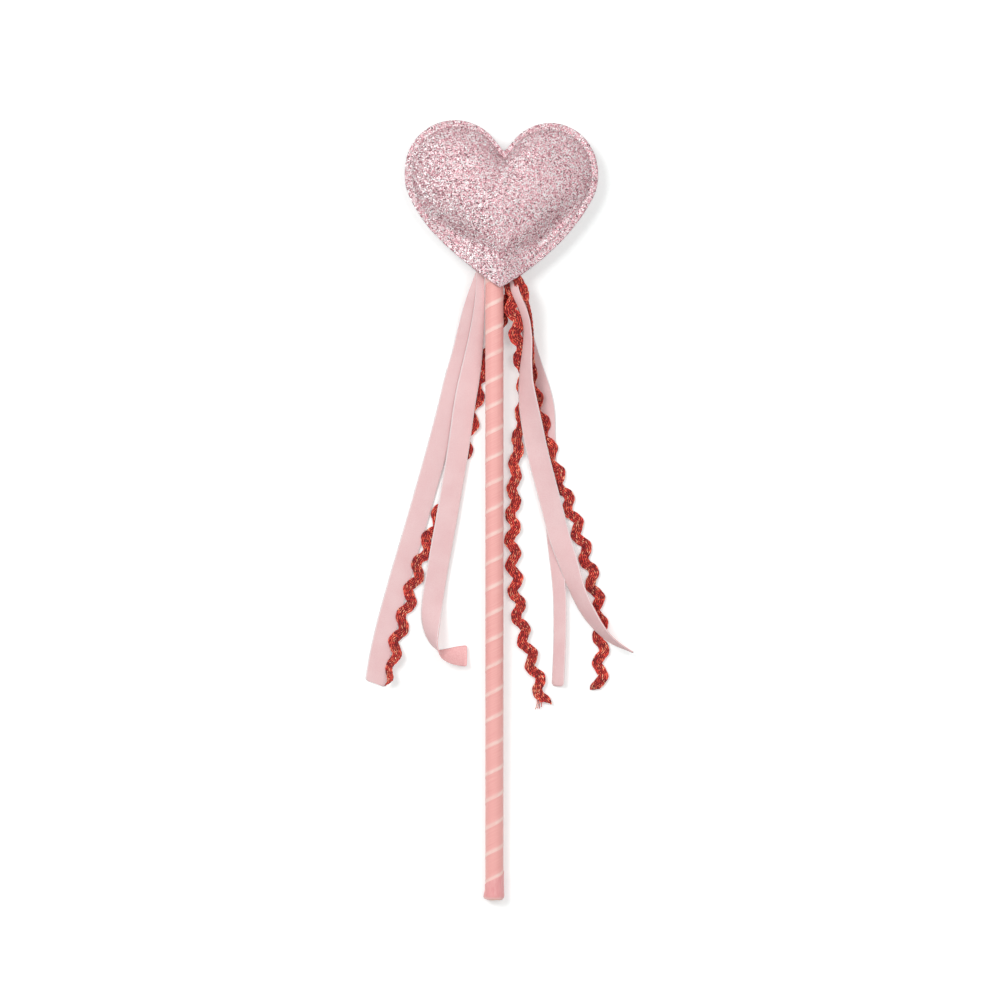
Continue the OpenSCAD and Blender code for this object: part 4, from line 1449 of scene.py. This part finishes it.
def braid_core(root, lay, stations):
    """A thin strip between the strands, cut off like them."""
    count = len(stations) - 1
    rows = count // 2
    bpy.ops.object.select_all(action="DESELECT")
    bpy.ops.mesh.primitive_grid_add(x_subdivisions=CORE_COLUMNS, y_subdivisions=rows, size=2)
    core = bpy.context.object
    for vertex in core.data.vertices:
        sideways = vertex.co.x * CORE_SHARE
        last = count - int((cut_short(lay["cut"], sideways) + CORE_SHORT) * POINTS_PER_MM)
        i = min(round((1 - vertex.co.y) / 2 * rows) * 2, last)
        vertex.co = braid_point(root, lay["lie"], stations[i], sideways, 0)
    close_up(core)
    thicken(core, CORE_WALL * MM, 0)
    return core


print("core width in mm:", round(BRAID_W * CORE_SHARE, 1))

# %% [markdown]
# ## Metallic thread
#
# The braid's shine comes from film that is wound round some of its threads, so the tint changes in short
# flecks. A cell pattern stretched along the braid gives them, and its palest flecks are painted glints. The
# real flecks are finer than a pixel of the render, so they are drawn as coarse as they need to be to show.
# The core is plain dark thread, and its dark also paints the shade in the gaps between the threads.

# %% Metallic thread
# A flat strip of shiny film wound round a polyester core. Its flecks run orange to dark red along the
# braid, the palest of them painted glints, with slow random changes of lighter and darker tone.
FLECK_WIDTH, FLECK_LENGTH = 0.45 * MM, 1.6 * MM
THREAD_CLOUD = 6 * MM
metallic, tree, shader = start_material("red_metallic_thread")
place = add_node(tree, "ShaderNodeTexCoord")
fleck_place = add_node(tree, "ShaderNodeMapping",
                       {"Vector": place.outputs["Object"],
                        "Scale": (1 / FLECK_WIDTH, 1 / FLECK_LENGTH, 1 / FLECK_WIDTH)})
flecks = add_node(tree, "ShaderNodeTexVoronoi", {"Vector": fleck_place.outputs["Vector"], "Scale": 1})
random = add_node(tree, "ShaderNodeSeparateColor", {"Color": flecks.outputs["Color"]})
tint = add_node(tree, "ShaderNodeValToRGB", {"Fac": random.outputs["Red"]})
# The palest stop paints glints.
set_stops(tint, [(0, "#80121a"), (0.2, "#b42826"), (0.45, "#dc4238"), (0.7, "#f26c52"), (0.9, "#ffb08e")],
          "CONSTANT")
cloud = add_node(tree, "ShaderNodeTexNoise", {"Vector": place.outputs["Object"], "Scale": 1 / THREAD_CLOUD})
patch = add_node(tree, "ShaderNodeMapRange",
                 {"Value": cloud.outputs["Fac"], "From Min": 0.3, "From Max": 0.7,
                  "To Min": 0.72, "To Max": 1.12})
shade = add_node(tree, "ShaderNodeVectorMath", {0: tint.outputs["Color"], "Scale": patch.outputs["Result"]},
                 operation="SCALE")
tree.links.new(shade.outputs[0], shader.inputs["Base Color"])
shader.inputs["Metallic"].default_value = 0.35
shader.inputs["Roughness"].default_value = 0.35
print("flecks in mm:", FLECK_WIDTH / MM, "by", FLECK_LENGTH / MM)

# %% Core thread
# Plain dyed polyester between the metallic threads: matt and dark red, a little fuzzy. Its dark red also
# paints the shade in the gaps between the threads.
FUZZ = 0.4 * MM
core_thread, tree, shader = start_material("dark_red_core_thread")
place = add_node(tree, "ShaderNodeTexCoord")
fuzz = add_node(tree, "ShaderNodeTexNoise", {"Vector": place.outputs["Object"], "Scale": 1 / FUZZ})
tint = add_node(tree, "ShaderNodeValToRGB", {"Fac": fuzz.outputs["Fac"]})
# The dark red is the core's own colour and also paints the shade between the threads.
set_stops(tint, [(0.3, "#6a1014"), (0.7, "#8e1e1d")])
tree.links.new(tint.outputs["Color"], shader.inputs["Base Color"])
shader.inputs["Roughness"].default_value = 0.8
print("core fuzz in mm:", FUZZ / MM)

# %% [markdown]
# ## Three braids
#
# The lays are read off the photograph too, and the zigzag is fitted to the peaks that can be counted
# there. Every braid is a limp cord.

# %% Where each braid lies
# wave and phase place the zigzag along the line, and snake is its height as (distance, mm). cut is how far
# the end is cut aslant, and fray lists loose threads as (place across, degrees, length).
braid_lays = {
    "zigzag_left": dict(
        body="left_braid", node="ricrac_left", wave=12.6, phase=123, cut=5.0, fray=[],
        snake=[(0, 0), (12, WAVE_HEIGHT)],
        rolls=[(182, 0), (193, 50), (203, 54)], lie=(root_height - 2.2 * ROOT_LAYER, 1.2, 24.0),
        ways=[(5.4, 102.6), (2.8, 95.6), (0.2, 89.6), (-2.6, 78.5), (-7.0, 64.5), (-10.4, 51.5),
              (-13.0, 37.5), (-16.5, 23.6), (-21.2, 12.0), (-25.8, 1.7), (-29.1, -6.2), (-32.3, -14.5),
              (-35.4, -22.0), (-37.9, -29.4), (-40.2, -36.9), (-42.1, -44.3), (-44.4, -51.7),
              (-46.7, -59.2), (-48.3, -66.6), (-49.7, -74.1), (-51.7, -82.6)]),
    "zigzag_right_inner": dict(
        body="right_inner_braid", node="ricrac_right_inner", wave=11.985, phase=80, rolls=FLAT, cut=-2.6,
        snake=[(0, 0), (12, WAVE_HEIGHT), (36, WAVE_HEIGHT), (46, 0.9), (95, 0.9), (120, 1.5),
               (140, WAVE_HEIGHT)],
        fray=[(-0.85, -20, 5.0), (-0.7, -12, 4.6), (-0.5, -8, 5.0), (-0.3, 0, 4.6)],
        lie=(root_height - 0.6 * ROOT_LAYER, 2.3, LAND_RIGHT),
        ways=[(5.9, 102.6), (7.4, 93.3), (9.3, 84.0), (10.3, 74.7), (11.6, 65.4), (12.2, 56.1),
              (11.4, 46.8), (10.3, 37.5), (8.8, 28.2), (7.9, 18.9), (7.6, 9.6), (7.2, 0.3),
              (7.0, -9.0), (6.7, -15.9), (7.2, -22.9), (7.9, -29.9), (8.4, -36.9), (9.3, -44.3),
              (10.4, -51.7), (12.5, -60.1), (15.1, -67.6), (17.4, -75.0), (19.9, -82.4), (21.2, -89.0),
              (21.5, -91.0)]),
    "zigzag_right_outer": dict(
        body="right_outer_braid", node="ricrac_right_outer", wave=12.2, phase=107, cut=1.0, fray=[],
        snake=[(40, 0), (52, WAVE_HEIGHT)], rolls=[(9, 0), (16, 80), (42, 80), (68, 0)],
        lie=(root_height + 2.6 * ROOT_LAYER, 1.2, 45.0),
        ways=[(8.4, 108.3), (10.4, 104.3), (12.6, 100.6), (14.4, 95.7), (15.7, 88.7), (16.2, 79.4),
              (16.4, 70.1), (16.6, 61.7), (17.2, 53.3), (19.7, 44.5), (22.5, 35.2), (25.3, 24.5),
              (28.4, 15.2), (31.4, 7.3), (34.2, -0.1), (37.0, -7.6), (39.3, -15.0), (41.8, -22.9),
              (43.9, -30.8), (45.6, -37.8), (47.0, -45.2), (47.8, -52.7), (48.1, -60.1), (48.3, -67.6),
              (47.8, -75.0), (47.0, -84.0)]),
}
print("braids:", len(braid_lays))

# %% Braids plaited
for name, lay in braid_lays.items():
    root = Vector(joint_of(lay["body"])["pos_m"]) / MM
    line, length = soft_line(root, lay["ways"])
    count = int(length * POINTS_PER_MM)
    stations = [braid_station(line, length, length * i / count, lay) for i in range(count + 1)]
    braid = plait_strands(name, root, line, length, lay, stations)
    core = braid_core(root, lay, stations)
    braid.data.materials.clear()
    braid.data.materials.append(metallic)
    core.data.materials.append(core_thread)
    bpy.ops.object.select_all(action="DESELECT")
    core.select_set(True)
    braid.select_set(True)
    bpy.context.view_layer.objects.active = braid
    bpy.ops.object.join()
    hang(braid, lay)
    print(name, round(length, 1), "mm,", len(braid.data.polygons), "faces")

# %% Sizes of the dressed wand
low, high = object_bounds()
print("dressed box in mm:", [round(v / MM, 1) for v in high - low])
